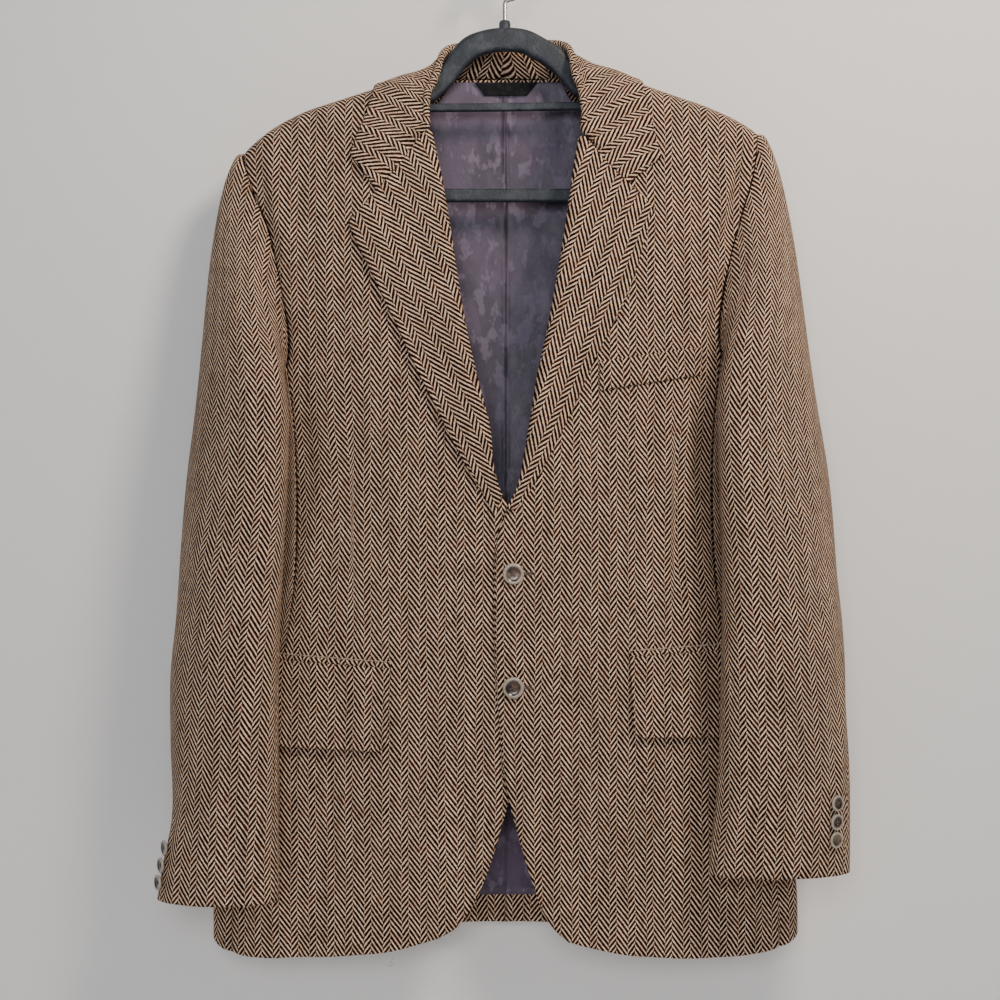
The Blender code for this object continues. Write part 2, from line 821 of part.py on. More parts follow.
def side_panel(side):
    turns = list(UNDER_TURNS) + [-turn for turn in reversed(UNDER_TURNS[:-1])]
    top = []
    for turn in turns:
        out, level = armhole(side, turn)
        sign = 1 if turn > 0 else -1
        fullness = 0.0 if abs(turn) == 180 else fullness_at(side, out, level) * sign
        top.append((fullness, level))
    top = np.array(top)
    gap = 1.3 * SEAM / body("front", -600)
    front_levels = seam_levels(side, False)
    back_levels = seam_levels(side, True)
    inner = np.array([(seam_fullness(side, level, False) - gap, level) for level in front_levels])
    outer = np.array([(-seam_fullness(side, level, True) + gap, level) for level in back_levels])
    top[0] = inner[0]
    top[-1] = outer[0]
    full = np.linspace(inner[-1, 0], outer[-1, 0], len(turns))
    bottom = np.array([(f, side_hem(side, f)) for f in full])
    bottom[0] = inner[-1]
    bottom[-1] = outer[-1]
    flat = patch(top, bottom, inner, outer)
    grid = np.array([[side_point(side, *cell) for cell in row] for row in flat])
    normals = np.array([[side_normal(side, *cell) for cell in row] for row in flat])
    return cloth("side_" + side_name(side), grid, CLOTH, tweed(), normals=normals)


# ---------------------------------------------------------------- lapels and collar

def lapel_cells(side, row_count, flat_columns):
    """Rows of (out, level, lift) from the gorge to the foot, roll first and free edge last."""
    cells = []
    for t in np.linspace(0, 1, row_count):
        inner_level = LAPEL_TOP[side] + (LAPEL_FOOT_INNER[side] - LAPEL_TOP[side]) * t
        tip_level = LAPEL_TIP[side][1]
        outer_level = tip_level + (LAPEL_FOOT_OUTER[side] - tip_level) * t
        inner_out = front_edge(side, inner_level)
        outer_out = smooth(LAPEL_EDGE[side], LAPEL_EDGE_COLUMNS, "out", outer_level)
        foot = ease(0.78, 0.97, t)
        width = outer_out - inner_out
        row = []
        for past, lift, past_at_foot, lift_at_foot in LAPEL_ROLL:
            out = inner_out - past - (past_at_foot - past) * foot
            level = inner_level + (outer_level - inner_level) * max(0.0, out - inner_out) / width
            row.append((out, level, lift + (lift_at_foot - lift) * foot))
        start_out, start_level, start_lift = row[-1]
        for s in np.linspace(0, 1, flat_columns + 1)[1:]:
            lift = start_lift + (LAID_ON + LAPEL_CLOTH - start_lift) * s
            out = start_out + (outer_out - start_out) * s
            row.append((out, start_level + (outer_level - start_level) * s, lift))
        cells.append(row)
    return cells


def lapel(side):
    cells = lapel_cells(side, LAPEL_ROWS, LAPEL_FLAT_COLUMNS)
    grid = np.array([[lifted(front, side, *cell) for cell in row] for row in cells])
    return cloth("lapel_" + side_name(side), grid, LAPEL_CLOTH, tweed(), (0, -1, 0))


def shell_normal(side, out, drop):
    step = 1.0
    across = shell(side, out + step, drop) - shell(side, out - step, drop)
    down = shell(side, out, drop + step) - shell(side, out, drop - step)
    normal = np.cross(down, across) * side
    return normal / np.linalg.norm(normal)


def on_shell(side, out, drop, lift):
    return shell(side, out, drop) + shell_normal(side, out, drop) * lift


def gorge_point(side, along_gorge):
    crossing_out = front_edge(side, LAPEL_TOP[side])
    crossing_level = LAPEL_TOP[side]
    tip_out, tip_level = LAPEL_TIP[side]
    out = crossing_out + (NOTCH_OUT[side] - crossing_out) * along_gorge
    slope = (tip_level - crossing_level) / (tip_out - crossing_out)
    level = crossing_level + slope * (out - crossing_out)
    return out, level


def collar_section(side, seam, fold, edge, stand):
    """Points across the collar: up the stand, round the fold and down to the free edge.

    seam and edge are (out, drop) on the body; the fall starts at the fold and settles onto it.
    """
    laid = COLLAR_LAID_ON + COLLAR_CLOTH
    foot = on_shell(side, *seam, COLLAR_SEAM_LIFT)
    crown = shell_normal(side, seam[0], max(seam[1], 0.0))
    inboard = fold - on_shell(side, *edge, laid)
    inboard = inboard - crown * float(np.dot(inboard, crown))
    inboard = inboard / np.linalg.norm(inboard)
    radius = COLLAR_FOLD_ROUND
    lead = math.radians(90) * ease(60, 8, seam[1])
    centre = fold - (inboard * math.cos(lead) + crown * math.sin(lead)) * radius
    to_foot = foot - centre
    reach = math.hypot(float(np.dot(to_foot, inboard)), float(np.dot(to_foot, crown)))
    leaves = math.atan2(float(np.dot(to_foot, crown)), float(np.dot(to_foot, inboard)))
    leaves += math.acos(min(1.0, radius / reach))
    if leaves > math.pi / 2:
        leaves -= 2 * math.pi
    bow = []
    for turn in np.linspace(leaves, COLLAR_FOLD_END, COLLAR_FOLD_POINTS):
        bow.append(centre + (inboard * math.cos(turn) + crown * math.sin(turn)) * radius)
    points = [foot, foot + (bow[0] - foot) * 0.5 + inboard * 1.0 * stand] + bow
    rise = bow[-1] - on_shell(side, *seam, laid)
    for s in COLLAR_FALL_STEPS:
        out = seam[0] + (edge[0] - seam[0]) * s
        drop = seam[1] + (edge[1] - seam[1]) * s
        normal = shell_normal(side, out, drop)
        shift = rise * (1 - s) ** COLLAR_SETTLES
        shift = shift - normal * min(0.0, float(np.dot(shift, normal)))
        swell = COLLAR_FALL_SWELL * stand * math.sin(math.pi * s)
        points.append(shell(side, out, drop) + normal * (laid + swell) + shift)
    return points


def collar_half(side):
    rows = []
    laid = COLLAR_LAID_ON + COLLAR_CLOTH
    for along_gorge, edge_out, edge_drop in COLLAR_FRONT[side]:
        out, level = gorge_point(side, along_gorge)
        seam_drop = ridge(side, out) + UNROLL - level - 2.0
        row = []
        for s in COLLAR_FLAT_STEPS:
            lift = laid + COLLAR_SWELL * math.sin(math.pi * s) * (1 - along_gorge * 0.7)
            at_out = out + (edge_out - out) * s
            at_drop = seam_drop + (edge_drop - seam_drop) * s
            row.append(on_shell(side, at_out, at_drop, lift))
        rows.append(row)
    stations = [(k, *row) for k, row in enumerate(COLLAR[side])]
    columns = ("station",) + COLLAR_COLUMNS
    for k in np.arange(0, len(stations) - 0.9, COLLAR_STATION_STEP):
        at = {name: smooth(stations, columns, name, k) for name in COLLAR_COLUMNS}
        fold = np.array([side * at["fold_out"], at["fold_depth"], at["fold_height"]])
        seam = (at["seam_out"], at["seam_drop"])
        edge = (at["edge_out"], at["edge_drop"])
        rows.append(collar_section(side, seam, fold, edge, ease(-0.6, 2.0, k)))
    return rows


def collar():
    rows = collar_half(LEFT) + collar_half(RIGHT)[-2::-1]
    return cloth("collar", np.array(rows), COLLAR_CLOTH, tweed(), (0, 0, 1))


# ---------------------------------------------------------------- sleeves

def ring(side, turn, height):
    """Sleeve section: turn 0 faces outward, 90 to the front, 180 to the body, 270 to the back."""
    table = SLEEVE[side]
    values = {name: smooth(table, SLEEVE_COLUMNS, name, height) for name in SLEEVE_COLUMNS[1:]}
    half = (values["outer"] - values["inner"]) / 2
    angle = math.radians(turn)
    out = (values["outer"] + values["inner"]) / 2 + half * math.cos(angle)
    y = values["middle"] - values["depth"] * math.sin(angle) + values["lean"] * half * math.cos(angle)
    return np.array([side * out, y, height])


def head(name, turn):
    if turn < 0:
        return smooth(HEAD, HEAD_COLUMNS, name, turn + 360) - (360 if name == "ring" else 0)
    return smooth(HEAD, HEAD_COLUMNS, name, turn)


def ring_turn(side, turn, t):
    """Where on the ring a line from the armhole runs; the seams drift to their places at the cuff."""
    start = head("ring", turn)
    hindarm, forearm = head("ring", HINDARM_TURN), head("ring", FOREARM_TURN)
    cuff_hindarm, cuff_forearm = HINDARM_AT_CUFF[side], FOREARM_AT_CUFF
    if turn <= FOREARM_TURN:
        share = (start - hindarm) / (forearm - hindarm)
        at_cuff = cuff_hindarm + (cuff_forearm - cuff_hindarm) * share
    else:
        share = (start - forearm) / (hindarm + 360 - forearm)
        at_cuff = cuff_forearm + (cuff_hindarm + 360 - cuff_forearm) * share
    return start + (at_cuff - start) * ease(0, 1, t)


def sleeve_line(side, turn):
    """One line of points from the armhole down to the cuff."""
    signed = turn if turn <= 180 else turn - 360
    start = armhole_point(side, signed)
    away = np.array([side * head("out", turn), -head("ahead", turn), -head("down", turn)])
    away = away / np.linalg.norm(away)
    foot_height = SLEEVE_HEAD_FOOT[side]
    foot = ring(side, ring_turn(side, turn, 0), foot_height)
    below = ring(side, ring_turn(side, turn, 0), foot_height - 30)
    up = (foot - below) / np.linalg.norm(foot - below)
    start = start + away * ARMHOLE_GAP
    second = start + away * head("reach", turn)
    third = foot + up * head("rise", turn) * np.linalg.norm(foot - start)
    points = []
    for t in np.linspace(0, 1, SLEEVE_HEAD_ROWS + 1):
        point = start * (1 - t) ** 3 + second * 3 * t * (1 - t) ** 2
        points.append(point + third * 3 * t * t * (1 - t) + foot * t ** 3)
    for t in np.linspace(0, 1, SLEEVE_ROWS + 1)[1:]:
        height = foot_height + (CUFF[side] - foot_height) * t
        points.append(ring(side, ring_turn(side, turn, t), height))
    return points


def sleeve(side):
    """Both sleeve pieces, cut from one tube along the forearm and hindarm seams."""
    half = list(FRONT_TURNS) + list(UNDER_TURNS[1:])
    back_half = [-turn for turn in half if turn not in (0, 180)]
    turns = [turn for turn in sorted(half + back_half) if turn >= HINDARM_TURN]
    turns += sorted(turn + 360 for turn in back_half if turn <= HINDARM_TURN)
    grid = np.array([sleeve_line(side, turn) for turn in turns]).transpose(1, 0, 2)
    wrapped = np.concatenate([grid[:, -2:-1], grid, grid[:, 1:2]], axis=1)
    normals = grid_normals(wrapped)[:, 1:-1]
    if np.sum(normals[:, 2] * (side, 0, 0)) < 0:
        normals = -normals
    for k, turn in enumerate(turns):
        normals[0, k] = armhole_normal(side, turn if turn <= 180 else turn - 360)
    split = turns.index(FOREARM_TURN)
    for name, first, last in (("top_sleeve_", 0, split), ("under_sleeve_", split, len(turns) - 1)):
        piece = grid[:, first:last + 1].copy()
        for edge, beside in ((0, 1), (-1, -2)):
            across = piece[:, beside] - piece[:, edge]
            across = across / np.linalg.norm(across, axis=1, keepdims=True)
            piece[:, edge] += across * SEAM / 2
        cloth(name + side_name(side), piece, CLOTH, tweed(), normals=normals[:, first:last + 1])


# ---------------------------------------------------------------- pockets, welt, lining and label

def laid_grid(side, corners, rows, columns, lift, round_corner=0.0):
    top_inner, top_outer, bottom_inner, bottom_outer = [np.array(c, dtype=float) for c in corners]
    grid = []
    for i in range(rows + 1):
        t = i / rows
        inner = top_inner + (bottom_inner - top_inner) * t
        outer = top_outer + (bottom_outer - top_outer) * t
        row = []
        for j in range(columns + 1):
            s = j / columns
            out, level = inner + (outer - inner) * s
            if round_corner and t > 0.99:
                reach = (out - inner[0]) / round_corner
                level += round_corner * 0.6 * max(0.0, 1 - reach) ** 2
            row.append(lifted(front, side, out, level, lift))
        grid.append(row)
    return np.array(grid)


def flap(side):
    grid = laid_grid(side, FLAP[side], 4, 8, LAID_ON + CLOTH, FLAP_CORNER)
    return cloth("flap_" + side_name(side), grid, CLOTH, tweed(), (0, -1, 0))


def jet(side):
    top_inner, top_outer = FLAP[side][:2]
    corners = [(out, level + JET_HEIGHT + SEAM) for out, level in (top_inner, top_outer)]
    corners += [(out, level + SEAM) for out, level in (top_inner, top_outer)]
    grid = laid_grid(side, corners, 2, 8, LAID_ON + CLOTH)
    return cloth("jet_" + side_name(side), grid, CLOTH, tweed(), (0, -1, 0))


def breast_welt():
    grid = laid_grid(RIGHT, WELT, 2, 6, LAID_ON + CLOTH)
    return cloth("breast_welt", grid, CLOTH, tweed(), (0, -1, 0))


def lining(side):
    grid = []
    normals = []
    for level in np.concatenate([[LINING_TOP, -135, -165], np.linspace(-200, LINING_FOOT, 9)]):
        widest = body(side_name(side), level) * LINING_WIDTH_SHARE
        widest = LINING_TOP_OUT + (widest - LINING_TOP_OUT) * ease(-110, -260, level)
        clear = LINING_CLEAR + LINING_CLEAR_AT_NECK * (1 - ease(-110, -240, level))
        cells = [(SEAM / 2 + (widest - SEAM / 2) * s, level) for s in np.linspace(0, 1, 7)]
        grid.append([lifted(back, side, *cell, -CLOTH - clear) for cell in cells])
        normals.append([normal_of(back, side, *cell) for cell in cells])
    return cloth("lining_" + side_name(side), grid, LINING_CLOTH, satin(), normals=np.array(normals))


def neck_label():
    lift = -CLOTH - LINING_CLEAR - LINING_CLEAR_AT_NECK - LINING_CLOTH - LAID_ON
    grid = []
    for t in (0.0, 0.5, 1.0):
        half = LABEL_TOP_HALF + (LABEL_BOTTOM_HALF - LABEL_TOP_HALF) * t
        level = LABEL_TOP + (LABEL_BOTTOM - LABEL_TOP) * t
        row = []
        for s in np.linspace(-1, 1, 7):
            side = LEFT if s < 0 else RIGHT
            row.append(lifted(back, side, abs(s) * half, level, lift))
        grid.append(row)
    return cloth("neck_label", grid, LABEL_CLOTH, label_satin(), (0, 1, 0))


# ---------------------------------------------------------------- buttons

def button(name, centre, facing, radius):
    """A turned disc with a raised rim, its back on the centre point and its face along facing."""
    facing = np.array(facing, dtype=float)
    facing = facing / np.linalg.norm(facing)
    across = np.cross(facing, (0, 0, 1.0))
    across = across / np.linalg.norm(across)
    up = np.cross(across, facing)
    vertices = []
    for share, height in BUTTON_PROFILE:
        for k in range(BUTTON_STEPS):
            angle = 2 * math.pi * k / BUTTON_STEPS
            spoke = across * math.cos(angle) + up * math.sin(angle)
            vertices.append(centre + spoke * radius * share + facing * radius * height)
    faces = [tuple(range(BUTTON_STEPS))[::-1]]
    for ring_index in range(len(BUTTON_PROFILE) - 1):
        for k in range(BUTTON_STEPS):
            a = ring_index * BUTTON_STEPS + k
            b = ring_index * BUTTON_STEPS + (k + 1) % BUTTON_STEPS
            faces.append((a, b, b + BUTTON_STEPS, a + BUTTON_STEPS))
    last = (len(BUTTON_PROFILE) - 1) * BUTTON_STEPS
    faces.append(tuple(range(last, last + BUTTON_STEPS)))
    return add_object(name, vertices, faces, horn())


def front_buttons():
    for number, height in enumerate(FRONT_BUTTON_HEIGHTS, 1):
        seat = front(RIGHT, FRONT_BUTTON_OUT, height) + np.array([0, -FRONT_BUTTON_SHANK, 0])
        button("front_button_%d" % number, seat, (0, -1, 0), FRONT_BUTTON_RADIUS)


def cuff_buttons(side):
    turn = CUFF_BUTTON_TURN[side]
    for number, height in enumerate(CUFF_BUTTON_HEIGHTS[side], 1):
        seat = ring(side, turn, height)
        ahead = ring(side, turn + 4, height) - ring(side, turn - 4, height)
        facing = np.array([ahead[1], -ahead[0], 0]) * side * -1
        facing = facing / np.linalg.norm(facing)
        if facing[1] > 0 and turn > 10:
            facing = -facing
        if facing[0] * side < 0:
            facing = -facing
        name = "cuff_button_%s_%d" % (side_name(side), number)
        button(name, seat + facing * CUFF_BUTTON_SHANK, facing, CUFF_BUTTON_RADIUS)


# ---------------------------------------------------------------- hanger

def smooth_rail(stations, steps):
    """Stations of a rail joined by smooth curves; each row is x, height, half_tall, half_deep."""
    rows = np.array(stations, dtype=float)
    spacing = np.linalg.norm(np.diff(rows[:, :2], axis=0), axis=1)
    length = np.concatenate([[0], np.cumsum(spacing)])
    fine = []
    columns = [tuple(zip(length, rows[:, k])) for k in range(rows.shape[1])]
    for at in np.linspace(0, length[-1], steps):
        fine.append([smooth(column, ("length", "value"), "value", at) for column in columns])
    return np.array(fine)


def rail(name, stations, steps):
    rows = smooth_rail(stations, steps) if steps else np.array(stations, dtype=float)
    heading = np.gradient(rows[:, :2], axis=0)
    heading = heading / np.linalg.norm(heading, axis=1, keepdims=True)
    vertices = []
    for (x, height, tall, deep), (dx, dz) in zip(rows, heading):
        for k in range(RAIL_STEPS):
            angle = 2 * math.pi * k / RAIL_STEPS
            up = math.sin(angle)
            side = math.cos(angle)
            up = math.copysign(abs(up) ** RAIL_SQUARENESS, up) * tall
            side = math.copysign(abs(side) ** RAIL_SQUARENESS, side) * deep
            vertices.append((x - dz * up, side, height + dx * up))
    faces = [tuple(range(RAIL_STEPS))[::-1]]
    for i in range(len(rows) - 1):
        for k in range(RAIL_STEPS):
            a = i * RAIL_STEPS + k
            b = i * RAIL_STEPS + (k + 1) % RAIL_STEPS
            faces.append((a, b, b + RAIL_STEPS, a + RAIL_STEPS))
    last = (len(rows) - 1) * RAIL_STEPS
    faces.append(tuple(range(last, last + RAIL_STEPS)))
    return add_object(name, vertices, faces, plastic())


def post(name, x, radius, bottom, top):
    steps = POST_STEPS
    vertices = []
    for height in (bottom, top):
        for k in range(steps):
            angle = 2 * math.pi * k / steps
            vertices.append((x + radius * math.cos(angle), radius * math.sin(angle), height))
    faces = [tuple(range(steps))[::-1], tuple(range(steps, 2 * steps))]
    for k in range(steps):
        nxt = (k + 1) % steps
        faces.append((k, nxt, nxt + steps, k + steps))
    return add_object(name, vertices, faces, plastic())


def join(target, tool, operation):
    """Add a tool to the target or cut it away, then remove the tool."""
    modifier = target.modifiers.new(tool.name, "BOOLEAN")
    modifier.operation = operation
    modifier.solver = "EXACT"
    modifier.object = tool
    view = bpy.context.evaluated_depsgraph_get()
    made = bpy.data.meshes.new_from_object(target.evaluated_get(view))
    target.modifiers.remove(modifier)
    target.data = made
    bpy.data.objects.remove(tool)


def hanger():
    arch = rail("hanger", HANGER_ARCH, ARCH_STATIONS)
    join(arch, rail("lower_bar", LOWER_BAR, LOWER_BAR_STATIONS), "UNION")
    join(arch, rail("upper_bar", UPPER_BAR, 0), "UNION")
    join(arch, post("neck", STEM_X, NECK_RADIUS, NECK_BOTTOM, NECK_TOP), "UNION")
    hole_radius = WIRE_RADIUS + WIRE_HOLE_CLEAR
    hole = post("hole", STEM_X, hole_radius, STEM_BOTTOM - WIRE_HOLE_CLEAR, NECK_TOP + WIRE_HOLE_RUNS_PAST)
    join(arch, hole, "DIFFERENCE")
    return arch


def hook_path():
    """The stem, a bend to the right, then the bow round the rail and its turned-up end."""
    radius = HOOK_INNER_RADIUS + WIRE_RADIUS
    centre = -HOOK_INNER_RADIUS
    points = [(STEM_X, STEM_BOTTOM), (STEM_X, NECK_TOP), (STEM_X, STEM_TOP)]
    lead = np.array([-math.sin(BEND_START), math.cos(BEND_START)])
    low = np.array([STEM_X, STEM_TOP])
    high = np.array([radius * math.cos(BEND_START), centre + radius * math.sin(BEND_START)])
    second = low + np.array([0, BEND_LEAD])
    third = high - lead * BEND_LEAD
    for t in np.linspace(0, 1, BEND_POINTS)[1:-1]:
        point = low * (1 - t) ** 3 + second * 3 * t * (1 - t) ** 2
        points.append(tuple(point + third * 3 * t * t * (1 - t) + high * t ** 3))
    for angle in np.linspace(BEND_START, HOOK_END, BOW_POINTS):
        points.append((radius * math.cos(angle), centre + radius * math.sin(angle)))
    return points


def hanger_hook():
    path = np.array(hook_path())
    heading = np.gradient(path, axis=0)
    heading = heading / np.linalg.norm(heading, axis=1, keepdims=True)
    steps = WIRE_STEPS
    vertices = []
    for (x, z), (dx, dz) in zip(path, heading):
        for k in range(steps):
            angle = 2 * math.pi * k / steps
            side = math.cos(angle) * WIRE_RADIUS
            vertices.append((x - dz * side, math.sin(angle) * WIRE_RADIUS, z + dx * side))
    faces = [tuple(range(steps))[::-1]]
    for i in range(len(path) - 1):
        for k in range(steps):
            a = i * steps + k
            b = i * steps + (k + 1) % steps
            faces.append((a, b, b + steps, a + steps))
    last = (len(path) - 1) * steps
    faces.append(tuple(range(last, last + steps)))
    return add_object("hanger_hook", vertices, faces, steel())


# ---------------------------------------------------------------- build

for old in list(bpy.data.objects):
    bpy.data.objects.remove(old)

for side in (LEFT, RIGHT):
    front_panel(side)
    side_panel(side)
    back_panel(side)
    sleeve(side)
    lapel(side)
    flap(side)
    jet(side)
    lining(side)
    cuff_buttons(side)
collar()
breast_welt()
neck_label()
front_buttons()
hanger()
hanger_hook()
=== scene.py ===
import math

import bpy
import mathutils
import numpy as np
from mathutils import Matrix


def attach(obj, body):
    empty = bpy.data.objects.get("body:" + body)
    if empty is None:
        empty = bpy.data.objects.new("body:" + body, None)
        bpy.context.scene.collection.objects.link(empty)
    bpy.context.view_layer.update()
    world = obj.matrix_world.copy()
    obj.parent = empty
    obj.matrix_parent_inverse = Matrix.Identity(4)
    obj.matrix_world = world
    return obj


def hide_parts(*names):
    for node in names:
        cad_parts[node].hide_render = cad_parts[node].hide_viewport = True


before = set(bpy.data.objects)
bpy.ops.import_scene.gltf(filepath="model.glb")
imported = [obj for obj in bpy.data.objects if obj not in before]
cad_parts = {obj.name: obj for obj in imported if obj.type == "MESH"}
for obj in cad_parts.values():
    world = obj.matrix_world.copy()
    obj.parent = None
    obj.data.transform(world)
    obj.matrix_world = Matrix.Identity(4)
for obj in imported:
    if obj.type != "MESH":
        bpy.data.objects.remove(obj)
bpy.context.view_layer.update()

# ---------------------------------------------------------------- the fronts
# Two fronts of woollen herringbone tweed, cream warp on a dark brown weft, interlined and pressed.
# Each hangs from its shoulder seam behind the ridge; the right one laps over the left.
# Sizes are in millimetres: a point is named by how far out from the centre it is and by its level.

MM = 0.001
LEFT = -1
RIGHT = 1
SIDES = {LEFT: "left", RIGHT: "right"}
TWEED = 2.2
SHOULDER_ROUND = 24.0
UNROLL = SHOULDER_ROUND * (math.pi / 2 - 1)
SEAM_BEHIND_RIDGE = 7.0
SIDE_POWER = 2.3
OVERLAP_TUCK = 4.2
SEAM = 0.12
NECK_OUT = 83.0
CHEST_LEVEL = -430.0

RIDGE = {"out": 0, LEFT: 1, RIGHT: 2}
RIDGE_ROWS = (
    (0, -60, -60),
    (40, -84, -78),
    (62, -103, -96),
    (82, -117, -110),
    (122, -127, -121),
    (160, -139, -134),
    (200, -153, -148),
    (225, -167, -160),
    (241, -180, -171),
    (252, -191, -182),
    (262, -206, -196),
)
BODY = {"height": 0, LEFT: 1, RIGHT: 2, "front": 3, "back": 4, "middle": 5}
BODY_ROWS = (
    (-960, 282, 281, 35, 35, -2),
    (-900, 281, 280, 38, 35, -2),
    (-850, 275, 274, 41, 35, -3),
    (-800, 262, 262, 43, 35, -3),
    (-700, 236, 236, 45, 33, -4),
    (-600, 220, 220, 46, 31, -4),
    (-520, 218, 217, 48, 33, -4),
    (-430, 224, 222, 50, 37, -4),
    (-330, 242, 238, 50, 39, -4),
    (-260, 256, 250, 45, 38, -3),
    (-200, 262, 252, 38, 36, -2),
    (-150, 262, 252, 31, 33, 0),
    (-100, 262, 252, 24, 30, 0),
)
# armhole seams by the turn from the shoulder (0) to the underarm (180): level and distance out
ARMHOLE_LEVEL = {LEFT: 1, RIGHT: 3}
ARMHOLE_OUT = {LEFT: 2, RIGHT: 4}
FRONT_ARMHOLE = (
    (0, -171, 252, -151, 242),
    (20, -200, 250, -182, 240),
    (40, -232, 240, -216, 235),
    (60, -266, 226, -252, 224),
    (80, -302, 217, -290, 213),
    (100, -338, 210, -326, 206),
    (120, -370, 206, -358, 202),
    (140, -397, 208, -385, 204),
    (160, -418, 215, -403, 212),
    (180, -428, 223.9, -412, 222),
)
BACK_ARMHOLE = (
    (0, -185, 252, -165, 242),
    (20, -207, 249, -189, 239),
    (40, -232, 242, -216, 233),
    (60, -266, 234, -252, 227),
    (80, -302, 228, -290, 222),
    (100, -338, 223, -326, 217),
    (120, -370, 219, -358, 214),
    (140, -397, 217, -385, 213),
    (160, -418, 219, -403, 216),
    (180, -428, 223.9, -412, 222),
)
SIDE_SEAM_TURN = 140
SIDE_SEAM_FOOT = -950.0
SIDE_FULLNESS_AT_HEM = 0.40
# front edges from the neck point to the tail: level and distance to the front's own side
FRONT_EDGE = {
    LEFT: (
        (-181, 75),
        (-207, 68.5),
        (-263, 58),
        (-309, 51),
        (-365, 41.5),
        (-411, 31),
        (-462, 18),
        (-498, 11),
        (-518, 4),
        (-535, -9),
        (-560, -22),
        (-620, -24),
        (-700, -24),
        (-740, -20),
        (-775, -12),
        (-805, -2.6),
        (-830, 4.4),
        (-852, 10.8),
        (-886, 22.6),
        (-910, 34.7),
        (-927, 50.6),
        (-935, 64.6),
    ),
    RIGHT: (
        (-188, 72.7),
        (-225, 66),
        (-263, 60.6),
        (-309, 53),
        (-360, 43.8),
        (-407, 33.6),
        (-462, 24.3),
        (-491, 17),
        (-513, 10),
        (-530, 1.5),
        (-550, -6.5),
        (-580, -10.5),
        (-620, -11),
        (-690, -9.5),
        (-737, -5.8),
        (-765, -3.9),
        (-793, 0.2),
        (-826, 8.1),
        (-857, 17),
        (-886, 25.8),
        (-912, 36),
        (-929, 48),
        (-938.5, 59),
    ),
}
FRONT_HEM_ROWS = (
    (55, -931, -936),
    (65, -935, -940),
    (100, -946, -949),
    (145, -952, -954),
    (190, -955, -956),
    (230, -957, -954),
    (262, -953, -948),
    (276, -945, -940),
    (282, -936, -932),
)
BACK_HEM_CENTRE = -937.0
BACK_HEM_SIDE = -941.0
SIDE_HEM_OUT = 282.0


def read(rows, column, at):
    """Read a column of a table along a smooth curve through its rows."""
    rows = np.array(rows, dtype=float)
    if rows[0, 0] > rows[-1, 0]:
        rows = rows[::-1]
    knots = rows[:, 0]
    values = rows[:, column]
    slopes = np.gradient(values, knots)
    at = np.clip(np.asarray(at, dtype=float), knots[0], knots[-1])
    i = np.clip(np.searchsorted(knots, at, side="right") - 1, 0, len(knots) - 2)
    span = knots[i + 1] - knots[i]
    t = (at - knots[i]) / span
    start = values[i] * (1 + 2 * t) * (1 - t) ** 2 + slopes[i] * span * t * (1 - t) ** 2
    return start + values[i + 1] * t * t * (3 - 2 * t) + slopes[i + 1] * span * t * t * (t - 1)


def ease(low, high, value):
    t = np.clip((np.asarray(value, dtype=float) - low) / (high - low), 0.0, 1.0)
    return t * t * (3 - 2 * t)


def ridge(side, out):
    return read(RIDGE_ROWS, RIDGE[side], np.abs(out))


def body(name, height):
    return read(BODY_ROWS, BODY[name], height)


def shell(side, out, drop):
    """Outer face of the body; drop runs from the ridge down the front (+) or the back (-)."""
    out = np.asarray(out, dtype=float)
    drop = np.asarray(drop, dtype=float)
    turn = np.minimum(np.abs(drop) / SHOULDER_ROUND, math.pi / 2)
    past = np.abs(drop) - SHOULDER_ROUND * math.pi / 2
    fall = SHOULDER_ROUND * (1 - np.cos(turn)) + np.maximum(past, 0.0)
    height = ridge(side, out) - fall
    across = np.clip(np.abs(out) / body(side, height), 0.0, 1.0)
    fullness = np.sin(turn) * np.sqrt(np.maximum(0.0, 1 - across ** SIDE_POWER))
    depth = np.where(drop >= 0, -body("front", height), body("back", height))
    return np.stack([side * out, body("middle", height) + depth * fullness, height], axis=-1)


def front(side, out, level):
    place = shell(side, out, ridge(side, out) + UNROLL - level)
    if side == LEFT:
        place[..., 1] += OVERLAP_TUCK * (1 - ease(15, 60, out)) * ease(-430, -520, level)
    return place


def back(side, out, level):
    return shell(side, out, level - ridge(side, out) - UNROLL)


def unit(vectors):
    return vectors / np.maximum(np.linalg.norm(vectors, axis=-1, keepdims=True), 1e-9)


def normal_of(surface, side, out, level):
    step = 1.0
    across = surface(side, out + step, level) - surface(side, out - step, level)
    down = surface(side, out, level - step) - surface(side, out, level + step)
    return unit(np.cross(down, across) * side * (-1 if surface is back else 1))


